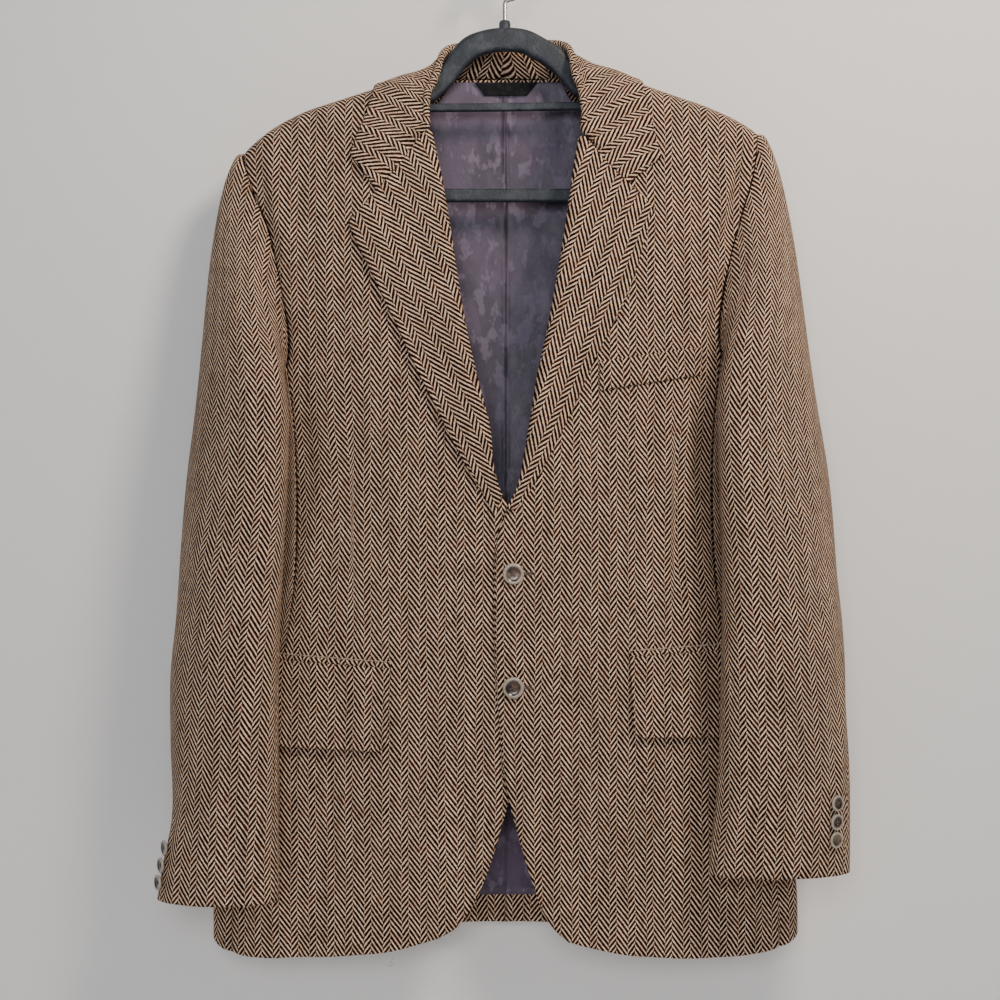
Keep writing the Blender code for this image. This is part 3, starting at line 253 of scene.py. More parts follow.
# creases pressed or hung into each front: start out and level, end out and level, half width and
# rise (a minus is a trough)
FRONT_CREASES = {
    LEFT: (
        (236, -196, 214, -330, 9, -1.8),
        (214, -330, 208, -400, 7, -1.6),
        (226, -210, 203, -345, 10, 1.4),
        (145, -430, 143, -668, 4, -0.9),
        (152, -440, 150, -640, 7, 0.5),
        (190, -420, 206, -640, 15, -1.6),
        (174, -440, 188, -660, 13, 1.2),
        (120, -300, 128, -520, 22, 1.0),
        (90, -480, 40, -560, 13, -0.9),
        (110, -520, 30, -590, 16, 0.9),
        (60, -600, 14, -588, 9, -0.7),
        (92, -770, 70, -930, 22, 1.5),
        (150, -780, 146, -945, 26, -1.7),
        (205, -770, 214, -950, 24, 1.6),
        (30, -700, 40, -900, 15, -1.0),
        (120, -150, 135, -260, 18, 1.0),
        (175, -165, 170, -300, 18, -1.0),
    ),
    RIGHT: (
        (229, -182, 206, -300, 9, -3.2),
        (206, -300, 199, -390, 8, -2.6),
        (216, -190, 190, -330, 11, 1.8),
        (157, -400, 158, -655, 4, -0.9),
        (150, -420, 151, -630, 7, 0.5),
        (186, -400, 204, -640, 15, -1.9),
        (172, -430, 186, -640, 12, 1.3),
        (112, -280, 118, -500, 22, 1.0),
        (96, -500, 30, -576, 14, -1.0),
        (100, -540, 24, -606, 16, 1.0),
        (60, -690, 18, -694, 10, -0.8),
        (84, -770, 76, -930, 20, 1.4),
        (134, -770, 140, -945, 24, -1.6),
        (196, -760, 214, -945, 24, 1.6),
        (36, -730, 44, -900, 15, -1.0),
        (126, -145, 130, -250, 18, 1.0),
        (170, -160, 178, -270, 17, -1.1),
    ),
}
# waist darts: distance out, top and foot level, and the cloth taken in
DARTS = {LEFT: (144.5, -428, -668, 5.2), RIGHT: (157.5, -400, -655, 5.2)}


def pressed(creases, out, level):
    """How far the creases lift a point, each a soft, slightly wandering trough or ridge."""
    lift = np.zeros(np.shape(out))
    for k, (out_0, level_0, out_1, level_1, width, rise) in enumerate(creases):
        run = np.array([out_1 - out_0, level_1 - level_0], dtype=float)
        length = np.linalg.norm(run)
        along = ((out - out_0) * run[0] + (level - level_0) * run[1]) / length ** 2
        aside = ((out - out_0) * run[1] - (level - level_0) * run[0]) / length
        aside = aside + width * 0.35 * np.sin(5.0 * along + 1.7 * k)
        body_of = np.exp(-(aside / width) ** 2) - 0.35 * np.exp(-((aside - 1.7 * width) / width) ** 2)
        lift += rise * body_of * ease(-0.12, 0.25, along) * ease(1.12, 0.75, along)
    return lift


def hang(out, level):
    """Slow waves down a hanging cloth, uneven from fold to fold."""
    wave = 0.55 * np.sin(out / 17.0 + 1.3 * np.sin(level / 140.0))
    wave += 0.35 * np.sin(out / 9.3 + 2.1 + 0.9 * np.sin(level / 75.0))
    return wave + 0.25 * np.sin(level / 31.0 + out / 60.0)


def front_relief(side, out, level):
    loose = 0.55 + 1.2 * ease(-640, -900, level)
    swell = 1.45 * pressed(FRONT_CREASES[side], out, level) + loose * hang(out, level)
    return swell * ease(-120, -190, level)


def on_front(side, out, level, lift):
    place = front(side, out, level)
    return place + normal_of(front, side, out, level) * (lift + front_relief(side, out, level))[..., None]


def front_edge(side, level):
    return read(FRONT_EDGE[side], 1, level)


def armhole(side, turn, on_back=False):
    rows = BACK_ARMHOLE if on_back else FRONT_ARMHOLE
    out = read(rows, ARMHOLE_OUT[side], turn)
    level = read(rows, ARMHOLE_LEVEL[side], turn)
    return out, level


def fullness_at(side, out, level):
    across = np.clip(out / body(side, level), 0.0, 1.0)
    return np.sqrt(np.maximum(0.0, 1 - across ** SIDE_POWER))


def seam_fullness(side, level, on_back):
    out, top = armhole(side, SIDE_SEAM_TURN, on_back)
    start = fullness_at(side, out, top)
    return start + (SIDE_FULLNESS_AT_HEM - start) * (top - level) / (top - SIDE_SEAM_FOOT)


def front_hem(side, out):
    return read(FRONT_HEM_ROWS, 1 if side == LEFT else 2, out)


def back_hem(out):
    return BACK_HEM_CENTRE + (BACK_HEM_SIDE - BACK_HEM_CENTRE) * ease(0, SIDE_HEM_OUT, out)


def side_hem(side, fullness):
    front_level = front_hem(side, 262.0)
    back_level = back_hem(262.0)
    side_level = front_hem(side, SIDE_HEM_OUT) - 6.0
    ahead = side_level + (front_level - side_level) * ease(0, SIDE_FULLNESS_AT_HEM, fullness)
    behind = side_level + (back_level - side_level) * ease(0, SIDE_FULLNESS_AT_HEM, -fullness)
    return np.where(fullness >= 0, ahead, behind)


def seam_levels(side, on_back, rows):
    top = armhole(side, SIDE_SEAM_TURN, on_back)[1]
    bottom = side_hem(side, -SIDE_FULLNESS_AT_HEM if on_back else SIDE_FULLNESS_AT_HEM)
    return top + (bottom - top) * (1 - (1 - np.linspace(0, 1, rows)) ** 1.25)


def shoulder_level(side, out, on_back):
    behind = -SEAM_BEHIND_RIDGE - SEAM / 2 if on_back else SEAM_BEHIND_RIDGE - SEAM / 2
    return ridge(side, out) + UNROLL + behind


def outer_edge(side, on_back, arm_rows, seam_rows):
    """The armhole and side seam of a front or a back, from the shoulder to the hem."""
    out, level = armhole(side, np.linspace(0, SIDE_SEAM_TURN, arm_rows), on_back)
    level = level + (shoulder_level(side, out[0], on_back) - level[0]) * ease(5, 0, np.arange(arm_rows))
    levels = seam_levels(side, on_back, seam_rows)[1:]
    fullness = seam_fullness(side, levels, on_back)
    outs = body(side, levels) * (1 - fullness ** 2) ** (1 / SIDE_POWER)
    arm = np.stack([out - SEAM / 2, level], axis=1)
    return np.concatenate([arm, np.stack([outs - SEAM / 2, levels], axis=1)])


def patch(top, bottom, inner, outer):
    """Fill four edges: top and bottom run outward, inner and outer run down."""
    u = np.linspace(0, 1, len(top))[None, :, None]
    v = np.linspace(0, 1, len(inner))[:, None, None]
    cells = (1 - v) * top[None] + v * bottom[None] + (1 - u) * inner[:, None] + u * outer[:, None]
    corners = (1 - u) * (1 - v) * top[0] + u * (1 - v) * top[-1]
    return cells - corners - (1 - u) * v * bottom[0] - u * v * bottom[-1]


def girth(places, first):
    """Length of cloth along each row, starting from the given distance out."""
    steps = np.linalg.norm(np.diff(places[..., :2], axis=1), axis=2)
    return np.concatenate([first[:, None], first[:, None] + np.cumsum(steps, axis=1)], axis=1)


def edge_roll(rows, columns, sides, width):
    """0 inside a piece and 1 on its named edges, for cloth that turns down into a seam."""
    i = np.arange(rows)[:, None] * np.ones(columns)[None]
    j = np.arange(columns)[None] * np.ones(rows)[:, None]
    near = np.full((rows, columns), 1e3)
    for name in sides:
        away = {"top": i, "bottom": rows - 1 - i, "inner": j, "outer": columns - 1 - j}[name]
        near = np.minimum(near, away)
    return np.clip(1 - near / width, 0, 1) ** 2


def make_cloth(name, places, weave, finish, facing, thickness=TWEED):
    """A thin cloth from a grid of places (mm) and its weave coordinates (mm of cloth)."""
    rows, columns = places.shape[:2]
    index = np.arange(rows * columns).reshape(rows, columns)
    quads = np.stack([index[:-1, :-1], index[:-1, 1:], index[1:, 1:], index[1:, :-1]], axis=-1)
    diagonals = np.cross(places[1:, 1:] - places[:-1, :-1], places[1:, :-1] - places[:-1, 1:])
    if np.sum(diagonals * np.asarray(facing, dtype=float)) < 0:
        quads = quads[..., ::-1]
    quads = quads.reshape(-1, 4)
    mesh = bpy.data.meshes.new(name)
    mesh.from_pydata((places.reshape(-1, 3) * MM).tolist(), [], quads.tolist())
    layer = mesh.uv_layers.new(name="weave")
    layer.data.foreach_set("uv", weave.reshape(-1, 2)[quads.reshape(-1)].astype(np.float32).ravel())
    mesh.polygons.foreach_set("use_smooth", np.ones(len(quads), dtype=bool))
    mesh.materials.append(finish)
    piece = bpy.data.objects.new(name, mesh)
    bpy.context.scene.collection.objects.link(piece)
    wall = piece.modifiers.new("thickness", "SOLIDIFY")
    wall.thickness = thickness * MM
    wall.offset = -1.0
    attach(piece, "root")
    return piece


class Nodes:
    """Short names for building a material's nodes."""

    def __init__(self, name, roughness):
        self.made = bpy.data.materials.new(name)
        self.made.use_nodes = True
        self.tree = self.made.node_tree
        self.shader = self.tree.nodes["Principled BSDF"]
        self.shader.inputs["Roughness"].default_value = roughness

    def put(self, kind, **settings):
        node = self.tree.nodes.new(kind)
        for name, value in settings.items():
            setattr(node, name, value)
        return node

    def feed(self, socket, value):
        if hasattr(value, "links") or isinstance(value, bpy.types.NodeSocket):
            self.tree.links.new(value, socket)
        else:
            socket.default_value = value

    def do(self, operation, *values):
        node = self.put("ShaderNodeMath", operation=operation)
        for socket, value in zip(node.inputs, values):
            self.feed(socket, value)
        return node.outputs[0]

    def shift(self, operation, a, b):
        node = self.put("ShaderNodeVectorMath", operation=operation)
        self.feed(node.inputs[0], a)
        self.feed(node.inputs["Scale"] if operation == "SCALE" else node.inputs[1], b)
        return node.outputs[0]

    def noise(self, where, scale, detail=2.0, roughness=0.5, stretch=None):
        if stretch:
            where = self.shift("MULTIPLY", where, stretch)
        node = self.put("ShaderNodeTexNoise")
        self.feed(node.inputs["Vector"], where)
        node.inputs["Scale"].default_value = scale
        node.inputs["Detail"].default_value = detail
        node.inputs["Roughness"].default_value = roughness
        return node

    def mix(self, share, a, b):
        node = self.put("ShaderNodeMix", data_type="RGBA")
        self.feed(node.inputs[0], share)
        for socket, value in ((node.inputs[6], a), (node.inputs[7], b)):
            self.feed(socket, value if isinstance(value, bpy.types.NodeSocket) else (*value, 1.0))
        return node.outputs[2]

    def ramp(self, value, low, high):
        node = self.put("ShaderNodeMapRange", interpolation_type="SMOOTHSTEP")
        self.feed(node.inputs[0], value)
        node.inputs[1].default_value = low
        node.inputs[2].default_value = high
        return node.outputs[0]

    def bump(self, height, distance, strength):
        node = self.put("ShaderNodeBump")
        self.feed(node.inputs["Height"], height)
        node.inputs["Distance"].default_value = distance
        node.inputs["Strength"].default_value = strength
        self.tree.links.new(node.outputs[0], self.shader.inputs["Normal"])


END = 1.1
PICK = 1.5
ENDS_DOWN = 10
ENDS_ALL = 16
CREAM = (0.97, 0.72, 0.52)
SAND = (0.66, 0.44, 0.30)
PEAT = (0.0085, 0.0024, 0.0011)
BRACKEN = (0.058, 0.014, 0.0065)


def tweed_finish(name, wander=1.6, warmth=0.5):
    """Herringbone twill from the cloth's own millimetres: ten ends one way, six the other."""
    n = Nodes(name, 0.92)
    place = n.put("ShaderNodeUVMap", uv_map="weave").outputs[0]
    drift = n.shift("SUBTRACT", n.noise(place, 0.018, 1.0).outputs["Color"], (0.5, 0.5, 0.5))
    yarn = n.shift("SUBTRACT", n.noise(place, 0.42, 2.0).outputs["Color"], (0.5, 0.5, 0.5))
    moved = n.shift("ADD", place, n.shift("SCALE", drift, wander * 2.6))
    moved = n.shift("ADD", moved, n.shift("SCALE", yarn, 0.95))
    split = n.put("ShaderNodeSeparateXYZ")
    n.feed(split.inputs[0], moved)
    ends = n.do("DIVIDE", split.outputs[0], END)
    picks = n.do("DIVIDE", split.outputs[1], PICK)
    end = n.do("FLOORED_MODULO", ends, float(ENDS_ALL))
    turned = n.do("GREATER_THAN", end, float(ENDS_DOWN))
    back_down = n.do("SUBTRACT", 2.0 * ENDS_DOWN + 2.0, end)
    going_up = n.do("MULTIPLY", end, n.do("SUBTRACT", 1.0, turned))
    step = n.do("ADD", going_up, n.do("MULTIPLY", back_down, turned))
    phase = n.do("FRACT", n.do("DIVIDE", n.do("ADD", picks, step), 4.0))
    wave = n.do("SUBTRACT", n.do("MULTIPLY", n.do("ABSOLUTE", n.do("SUBTRACT", phase, 0.5)), 4.0), 1.0)
    fibres = n.noise(place, 1.5, 3.0, 0.65)
    fuzz = n.do("SUBTRACT", fibres.outputs[0], 0.5)
    wave = n.do("ADD", wave, n.do("MULTIPLY", fuzz, 1.7))
    light = n.ramp(wave, 0.04, 0.56)
    between_ends = n.do("COSINE", n.do("MULTIPLY", ends, 2 * math.pi))
    between_picks = n.do("COSINE", n.do("MULTIPLY", picks, 2 * math.pi))
    patchy = n.noise(place, 0.05, 3.0, 0.6)
    streaks = n.noise(place, 0.11, 2.0, 0.55, (1.0, 0.07, 1.0))
    hue = n.noise(place, 0.24, 2.0, 0.6, (1.0, 0.35, 1.0))
    cream = n.mix(n.ramp(hue.outputs[0], 0.30, 0.75), CREAM, SAND)
    dark = n.mix(n.ramp(hue.outputs["Color"], 0.35, 0.8), PEAT, BRACKEN)
    colour = n.mix(light, dark, cream)
    # Painted shade: the cosines darken the colour in the grooves between the ends and between the picks;
    # the patches, streaks and fuzz vary its tone at random.
    shade = n.do("ADD", 0.93, n.do("MULTIPLY", between_ends, 0.06))
    shade = n.do("ADD", shade, n.do("MULTIPLY", between_picks, 0.04))
    shade = n.do("ADD", shade, n.do("MULTIPLY", n.do("SUBTRACT", patchy.outputs[0], 0.5), 0.55))
    shade = n.do("ADD", shade, n.do("MULTIPLY", n.do("SUBTRACT", streaks.outputs[0], 0.5), 0.8))
    shade = n.do("ADD", shade, n.do("MULTIPLY", fuzz, 0.45))
    toned = n.shift("SCALE", colour, shade)
    n.tree.links.new(toned, n.shader.inputs["Base Color"])
    n.shader.inputs["Specular IOR Level"].default_value = 0.08
    n.shader.inputs["Sheen Weight"].default_value = 0.03
    n.shader.inputs["Sheen Roughness"].default_value = 0.5
    n.shader.inputs["Sheen Tint"].default_value = (1.0, 0.9, 0.8, 1.0)
    height = n.do("ADD", n.do("MULTIPLY", light, 0.6), n.do("MULTIPLY", fibres.outputs[0], 0.9))
    n.bump(n.do("ADD", height, n.do("MULTIPLY", between_ends, 0.15)), 0.00035, 0.7)
    return n.made


tweed = tweed_finish("tweed_herringbone")

FRONT_ARM_ROWS = 96
FRONT_SEAM_ROWS = 170
FRONT_COLUMNS = 92


def front_cells(side):
    outer = outer_edge(side, False, FRONT_ARM_ROWS, FRONT_SEAM_ROWS)
    table = FRONT_EDGE[side]
    top_level = shoulder_level(side, NECK_OUT, False)
    last = FRONT_ARM_ROWS - 1
    upper = CHEST_LEVEL + (outer[:last + 1, 1] - outer[last, 1]) * (top_level - CHEST_LEVEL) / (
        outer[0, 1] - outer[last, 1]
    )
    share = (outer[last:, 1] - outer[last, 1]) / (outer[-1, 1] - outer[last, 1])
    levels = np.concatenate([upper, (CHEST_LEVEL + (table[-1][0] - CHEST_LEVEL) * share)[1:]])
    t = np.clip((top_level - levels) / (top_level - table[0][0]), 0, 1)
    at_neck = NECK_OUT + (table[0][1] - NECK_OUT) * t ** 1.5
    inner = np.stack([np.where(levels > table[0][0], at_neck, front_edge(side, levels)), levels], axis=1)
    shoulder_end = armhole(side, 0.0)[0] - SEAM / 2
    outs = NECK_OUT + (shoulder_end - NECK_OUT) * np.linspace(0, 1, FRONT_COLUMNS) ** 0.9
    top = np.stack([outs, shoulder_level(side, outs, False)], axis=1)
    hem_outs = table[-1][1] + (outer[-1, 0] - table[-1][1]) * np.linspace(0, 1, FRONT_COLUMNS) ** 0.85
    bottom = np.stack([hem_outs, front_hem(side, hem_outs)], axis=1)
    bottom[0] = inner[-1]
    bottom[-1] = outer[-1]
    inner[0] = top[0]
    return patch(top, bottom, inner, outer)


def taken_in(side, out, level):
    """Cloth that the waist dart swallows beyond its line."""
    dart_out, top, foot, width = DARTS[side]
    depth = ease(top, (top + foot) / 2, level) * ease(foot, (top + foot) / 2, level)
    return width * depth * ease(dart_out - 1.2, dart_out + 1.2, out)


FRONT_MATCH = {LEFT: 4.0, RIGHT: 2.0}
for side in (LEFT, RIGHT):
    cells = front_cells(side)
    out, level = cells[..., 0], cells[..., 1]
    rows, columns = out.shape
    seam_dip = -0.35 * edge_roll(rows, columns, ("outer", "top"), 3.0)
    soft_edge = -0.8 * edge_roll(rows, columns, ("inner", "bottom"), 2.0)
    places = on_front(side, out, level, seam_dip + soft_edge)
    u = side * (girth(places, out[:, 0]) + taken_in(side, out, level))
    weave = np.stack([u + FRONT_MATCH[side], level], axis=-1)
    piece = make_cloth("cloth_front_" + SIDES[side], places, weave, tweed, (0, -1, 0))
    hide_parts("front_" + SIDES[side])

# ---------------------------------------------------------------- the backs
# Two backs of the same tweed, joined by the centre seam and hung from the shoulder seams.
# They lie nearly flat against the wall, with the slack of the shoulders falling down the blades.

BACK_NECK_LEVEL = -111.0
NECK_FLAT_OUT = 30.0
BACK_COLUMNS = 84
BACK_ARM_ROWS = 66
BACK_SEAM_ROWS = 110
BACK_CREASES = {
    LEFT: (
        (205, -180, 168, -430, 18, 2.6),
        (232, -230, 196, -420, 14, -2.2),
        (90, -150, 70, -330, 24, 1.6),
        (40, -420, 60, -640, 24, -2.0),
        (150, -480, 130, -800, 22, 2.2),
        (210, -520, 226, -860, 20, -1.8),
        (70, -700, 90, -930, 24, 1.8),
        (20, -620, 120, -560, 14, -1.2),
    ),
    RIGHT: (
        (200, -170, 160, -410, 19, 2.4),
        (226, -220, 190, -400, 14, -2.3),
        (84, -150, 62, -350, 22, 1.7),
        (52, -430, 44, -660, 22, -1.8),
        (140, -470, 136, -780, 24, 2.0),
        (204, -500, 222, -850, 20, -1.9),
        (86, -720, 76, -930, 22, 1.6),
        (16, -560, 130, -610, 15, -1.3),
    ),
}


def back_relief(side, out, level):
    swell = pressed(BACK_CREASES[side], out, level) + 0.9 * hang(out + 30.0, level)
    return swell * ease(-120, -200, level) * ease(0, 14, out)


def on_back(side, out, level, lift):
    lift = lift + back_relief(side, out, level)
    return back(side, out, level) + normal_of(back, side, out, level) * np.asarray(lift)[..., None]


for side in (LEFT, RIGHT):
    outer = outer_edge(side, True, BACK_ARM_ROWS, BACK_SEAM_ROWS)
    shoulder_end = armhole(side, 0.0, True)[0] - SEAM / 2
    share = np.linspace(0, 1, BACK_COLUMNS)
    outs = SEAM / 2 + (shoulder_end - SEAM / 2) * share
    neck_level = shoulder_level(side, NECK_OUT, True)
    under_collar = BACK_NECK_LEVEL + (neck_level - BACK_NECK_LEVEL) * ease(NECK_FLAT_OUT, NECK_OUT, outs)
    top_levels = np.where(outs < NECK_OUT, under_collar, shoulder_level(side, outs, True))
    top = np.stack([outs, top_levels], axis=1)
    down = (outer[:, 1] - outer[0, 1]) / (outer[-1, 1] - outer[0, 1])
    centre_levels = BACK_NECK_LEVEL + (BACK_HEM_CENTRE - BACK_NECK_LEVEL) * down
    inner = np.stack([np.full(len(outer), SEAM / 2), centre_levels], axis=1)
    hem_outs = outs / outs[-1] * outer[-1, 0]
    bottom = np.stack([hem_outs, back_hem(hem_outs)], axis=1)
    bottom[0] = inner[-1]
    bottom[-1] = outer[-1]
    cells = patch(top, bottom, inner, outer)
    out, level = cells[..., 0], cells[..., 1]
    rows, columns = out.shape
    seam_dip = -0.9 * edge_roll(rows, columns, ("outer", "top", "inner"), 3.0)
    places = on_back(side, out, level, seam_dip)
    weave = np.stack([-side * girth(places, out[:, 0]), level], axis=-1)
    piece = make_cloth("cloth_back_" + SIDES[side], places, weave, tweed, (0, 1, 0))
    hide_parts("back_" + SIDES[side])

# ---------------------------------------------------------------- the side bodies
# A narrow panel of tweed under each arm, between the front and the back, from armhole to hem.
# It turns the jacket's edge, so it takes most of the light and shade at the sides.

SIDE_COLUMNS = 36
SIDE_ROWS = 150


def lengths(places, axis):
    """Length of cloth from the first row or column of a grid of places."""
    steps = np.linalg.norm(np.diff(places, axis=axis), axis=2)
    return np.cumsum(np.insert(steps, 0, 0.0, axis=axis), axis=axis)


def laid_flat(places, guess, held_rows, rounds):
    """Weave coordinates as the cloth lay before it was shaped: every short length stays true.

    The last held_rows keep their guess; the rest is eased until its lengths match the places.
    """
    flat = guess.copy()
    rows, columns = places.shape[:2]
    links = []
    for down, across in ((0, 1), (1, 0), (1, 1), (1, -1), (0, 3), (3, 0)):
        a = (slice(0, rows - down), slice(max(0, -across), columns - max(0, across)))
        b = (slice(down, rows), slice(max(0, across), columns - max(0, -across)))
        links.append((a, b, np.linalg.norm(places[a] - places[b], axis=-1)))
    share = np.full((rows, columns, 1), 1.0 / len(links))
    share[rows - held_rows:] = 0.0
    for _ in range(rounds):
        push = np.zeros_like(flat)
        for a, b, length in links:
            gap = flat[b] - flat[a]
            reach = np.maximum(np.linalg.norm(gap, axis=-1), 1e-6)
            pull = gap * (0.5 * (1 - length / reach))[..., None]
            push[a] += pull
            push[b] -= pull
        flat = flat + push * share * 1.5
    return flat


def side_place(side, fullness, level):
    """Body point by its fullness: + towards the front, 0 at the side, - towards the back."""
    out = body(side, level) * (1 - fullness ** 2) ** (1 / SIDE_POWER)
    depth = np.where(fullness > 0, -body("front", level), -body("back", level)) * fullness
    return np.stack([side * out, body("middle", level) + depth, level], axis=-1)


for side in (LEFT, RIGHT):
    turns = np.linspace(SIDE_SEAM_TURN, 360 - SIDE_SEAM_TURN, SIDE_COLUMNS)
    behind = turns > 180
    ahead_out, ahead_level = armhole(side, np.minimum(turns, 180))
    behind_out, behind_level = armhole(side, np.minimum(360 - turns, 180), True)
    top_level = np.where(behind, behind_level, ahead_level)
    top_full = fullness_at(side, np.where(behind, behind_out, ahead_out), top_level)
    top = np.stack([np.where(behind, -top_full, top_full), top_level], axis=1)
    gap = 1.3 * SEAM / float(body("front", -600))
    levels = seam_levels(side, False, SIDE_ROWS)
    inner = np.stack([seam_fullness(side, levels, False) - gap, levels], axis=1)
    levels = seam_levels(side, True, SIDE_ROWS)
    outer = np.stack([gap - seam_fullness(side, levels, True), levels], axis=1)
    top[0] = inner[0]
    top[-1] = outer[0]
    round_hem = np.linspace(inner[-1, 0], outer[-1, 0], SIDE_COLUMNS)
    bottom = np.stack([round_hem, side_hem(side, round_hem)], axis=1)
    bottom[0] = inner[-1]
    bottom[-1] = outer[-1]
    cells = patch(top, bottom, inner, outer)
    places = side_place(side, cells[..., 0], cells[..., 1])
    across = np.gradient(places, axis=1)
    down = np.gradient(places, axis=0)
    normals = unit(np.cross(across, down))
    normals = normals * np.sign(np.sum(normals[..., 0]) * side)
    dip = -0.35 * edge_roll(SIDE_ROWS, SIDE_COLUMNS, ("inner", "outer"), 3.0)
    swell = 1.3 * np.sin(cells[..., 1] / 46.0 + 3.0 * cells[..., 0]) * ease(1.0, 0.6, np.abs(cells[..., 0]))
    places = places + normals * (dip + 0.6 * swell * ease(-430, -520, cells[..., 1]))[..., None]
    u = lengths(places, 1)
    weave = np.stack([u * side, cells[..., 1]], axis=-1)
    piece = make_cloth("cloth_side_" + SIDES[side], places, weave, tweed, (side, 0, 0))
    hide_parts("side_" + SIDES[side])

# ---------------------------------------------------------------- the sleeves
# Each sleeve is a top and an under piece, sewn along the forearm and hindarm seams and eased into
# the armhole.  It hangs beside and in front of the body, flattened and turned a little inward.

SLEEVE = {"height": 0, "outer": 1, "inner": 2, "middle": 3, "depth": 4, "lean": 5}
SLEEVE_ROWS = {
    LEFT: (
        (-891, 322.5, 209, -63, 29, 0.08),
        (-860, 318, 209, -62, 31, 0.12),
        (-822, 311, 209, -60, 35, 0.20),
        (-747, 313, 209, -56, 41, 0.30),
        (-690, 315.5, 208.5, -52, 44, 0.38),
        (-620, 310.5, 207, -48, 47, 0.44),
        (-560, 307.5, 204, -44, 49, 0.50),
        (-500, 304, 201, -40, 50, 0.56),
        (-452, 299, 200, -37, 50, 0.62),
    ),
    RIGHT: (
        (-866, 318, 186, -63, 29, 0.08),
        (-840, 319, 188, -62, 31, 0.12),
        (-784, 320.5, 193, -59, 36, 0.22),
        (-710, 318, 195.6, -55, 43, 0.32),
        (-616, 315, 197.5, -49, 47, 0.44),
        (-570, 312.5, 197.5, -45, 49, 0.50),
        (-495, 307, 195, -40, 50, 0.56),
        (-436, 298, 194, -37, 50, 0.62),
    ),
}
HEAD_FOOT = {LEFT: -452.0, RIGHT: -436.0}
CUFF = {LEFT: -891.0, RIGHT: -866.0}
# how a sleeve leaves its armhole, by the turn from the top round the front
HEAD = {"turn": 0, "out": 1, "ahead": 2, "down": 3, "reach": 4, "rise": 5, "ring": 6}
HEAD_ROWS = (
    (0, 1.00, 0.00, 0.02, 24, 0.52, 0),
    (45, 0.86, 0.45, 0.00, 30, 0.50, 48),
    (90, 0.55, 0.80, 0.05, 36, 0.45, 108),
    (135, 0.20, 0.95, 0.25, 22, 0.40, 180),
    (180, 0.60, 0.20, 0.75, 8, 0.30, 238),
    (225, 0.62, -0.35, 0.70, 16, 0.40, 268),
    (270, 0.80, -0.55, 0.00, 34, 0.45, 295),
    (315, 0.90, -0.30, 0.00, 30, 0.50, 324),
    (360, 1.00, 0.00, 0.02, 24, 0.52, 360),
)
FOREARM_TURN = 140.0
HINDARM_TURN = -70.0
HINDARM_AT_CUFF = {LEFT: -2.0, RIGHT: 30.0}
FOREARM_AT_CUFF = 165.0
ARMHOLE_GAP = 0.1
HEAD_STEPS = 62
ARM_STEPS = 128
# hung and pressed creases in each sleeve: turn and height at the start and the end, half width (in
# degrees of turn and in millimetres) and rise
SLEEVE_CREASES = {
    LEFT: (
        (60, -215, 84, -420, 14, 1.5),
        (84, -240, 110, -470, 12, -1.7),
        (20, -230, 40, -520, 16, 1.3),
        (-20, -260, 0, -560, 15, -1.6),
        (40, -520, 120, -600, 12, -1.3),
        (30, -560, 130, -660, 13, 1.2),
        (60, -640, 70, -860, 16, -1.1),
        (100, -700, 104, -880, 13, 1.0),
        (-50, -420, -46, -800, 13, 1.4),
        (120, -470, 134, -640, 9, 1.1),
        (200, -480, 230, -760, 18, -1.6),
        (250, -470, 262, -800, 16, 1.5),
    ),
    RIGHT: (
        (54, -200, 80, -400, 14, 1.6),
        (80, -230, 108, -460, 12, -1.8),
        (16, -220, 36, -500, 16, 1.4),
        (-24, -250, -4, -540, 15, -1.5),
        (46, -500, 124, -580, 12, -1.2),
        (36, -550, 132, -640, 13, 1.3),
        (70, -640, 76, -840, 16, -1.2),
        (106, -690, 108, -860, 12, 1.0),
        (-46, -400, -42, -780, 13, 1.4),
        (118, -450, 132, -630, 9, 1.2),
        (204, -470, 232, -740, 18, -1.6),
        (252, -460, 260, -790, 16, 1.4),
    ),
}


def ring(side, turn, height):
    """Sleeve section: turn 0 faces outward, 90 to the front, 180 to the body, 270 to the back."""
    at = {name: read(SLEEVE_ROWS[side], column, height) for name, column in SLEEVE.items()}
    half = (at["outer"] - at["inner"]) / 2
    angle = np.radians(turn)
    out = (at["outer"] + at["inner"]) / 2 + half * np.cos(angle)
    y = at["middle"] - at["depth"] * np.sin(angle) + at["lean"] * half * np.cos(angle)
    return np.stack([side * out, y, height + np.zeros_like(out)], axis=-1)


def head(name, turn):
    value = read(HEAD_ROWS, HEAD[name], np.mod(turn, 360))
    if name == "ring":
        value = value + 360.0 * np.floor_divide(turn, 360)
    return value


def ring_turn(side, turn, t):
    """Where on the ring a line from the armhole runs; the seams drift to their places at the cuff."""
    start = head("ring", turn)
    hindarm = head("ring", HINDARM_TURN)
    forearm = head("ring", FOREARM_TURN)
    cuff_hindarm = HINDARM_AT_CUFF[side]
    over = cuff_hindarm + (FOREARM_AT_CUFF - cuff_hindarm) * (start - hindarm) / (forearm - hindarm)
    share = (start - forearm) / (hindarm + 360 - forearm)
    under = FOREARM_AT_CUFF + (cuff_hindarm + 360 - FOREARM_AT_CUFF) * share
    at_cuff = np.where(turn <= FOREARM_TURN, over, under)
    return start + (at_cuff - start) * ease(0, 1, t)


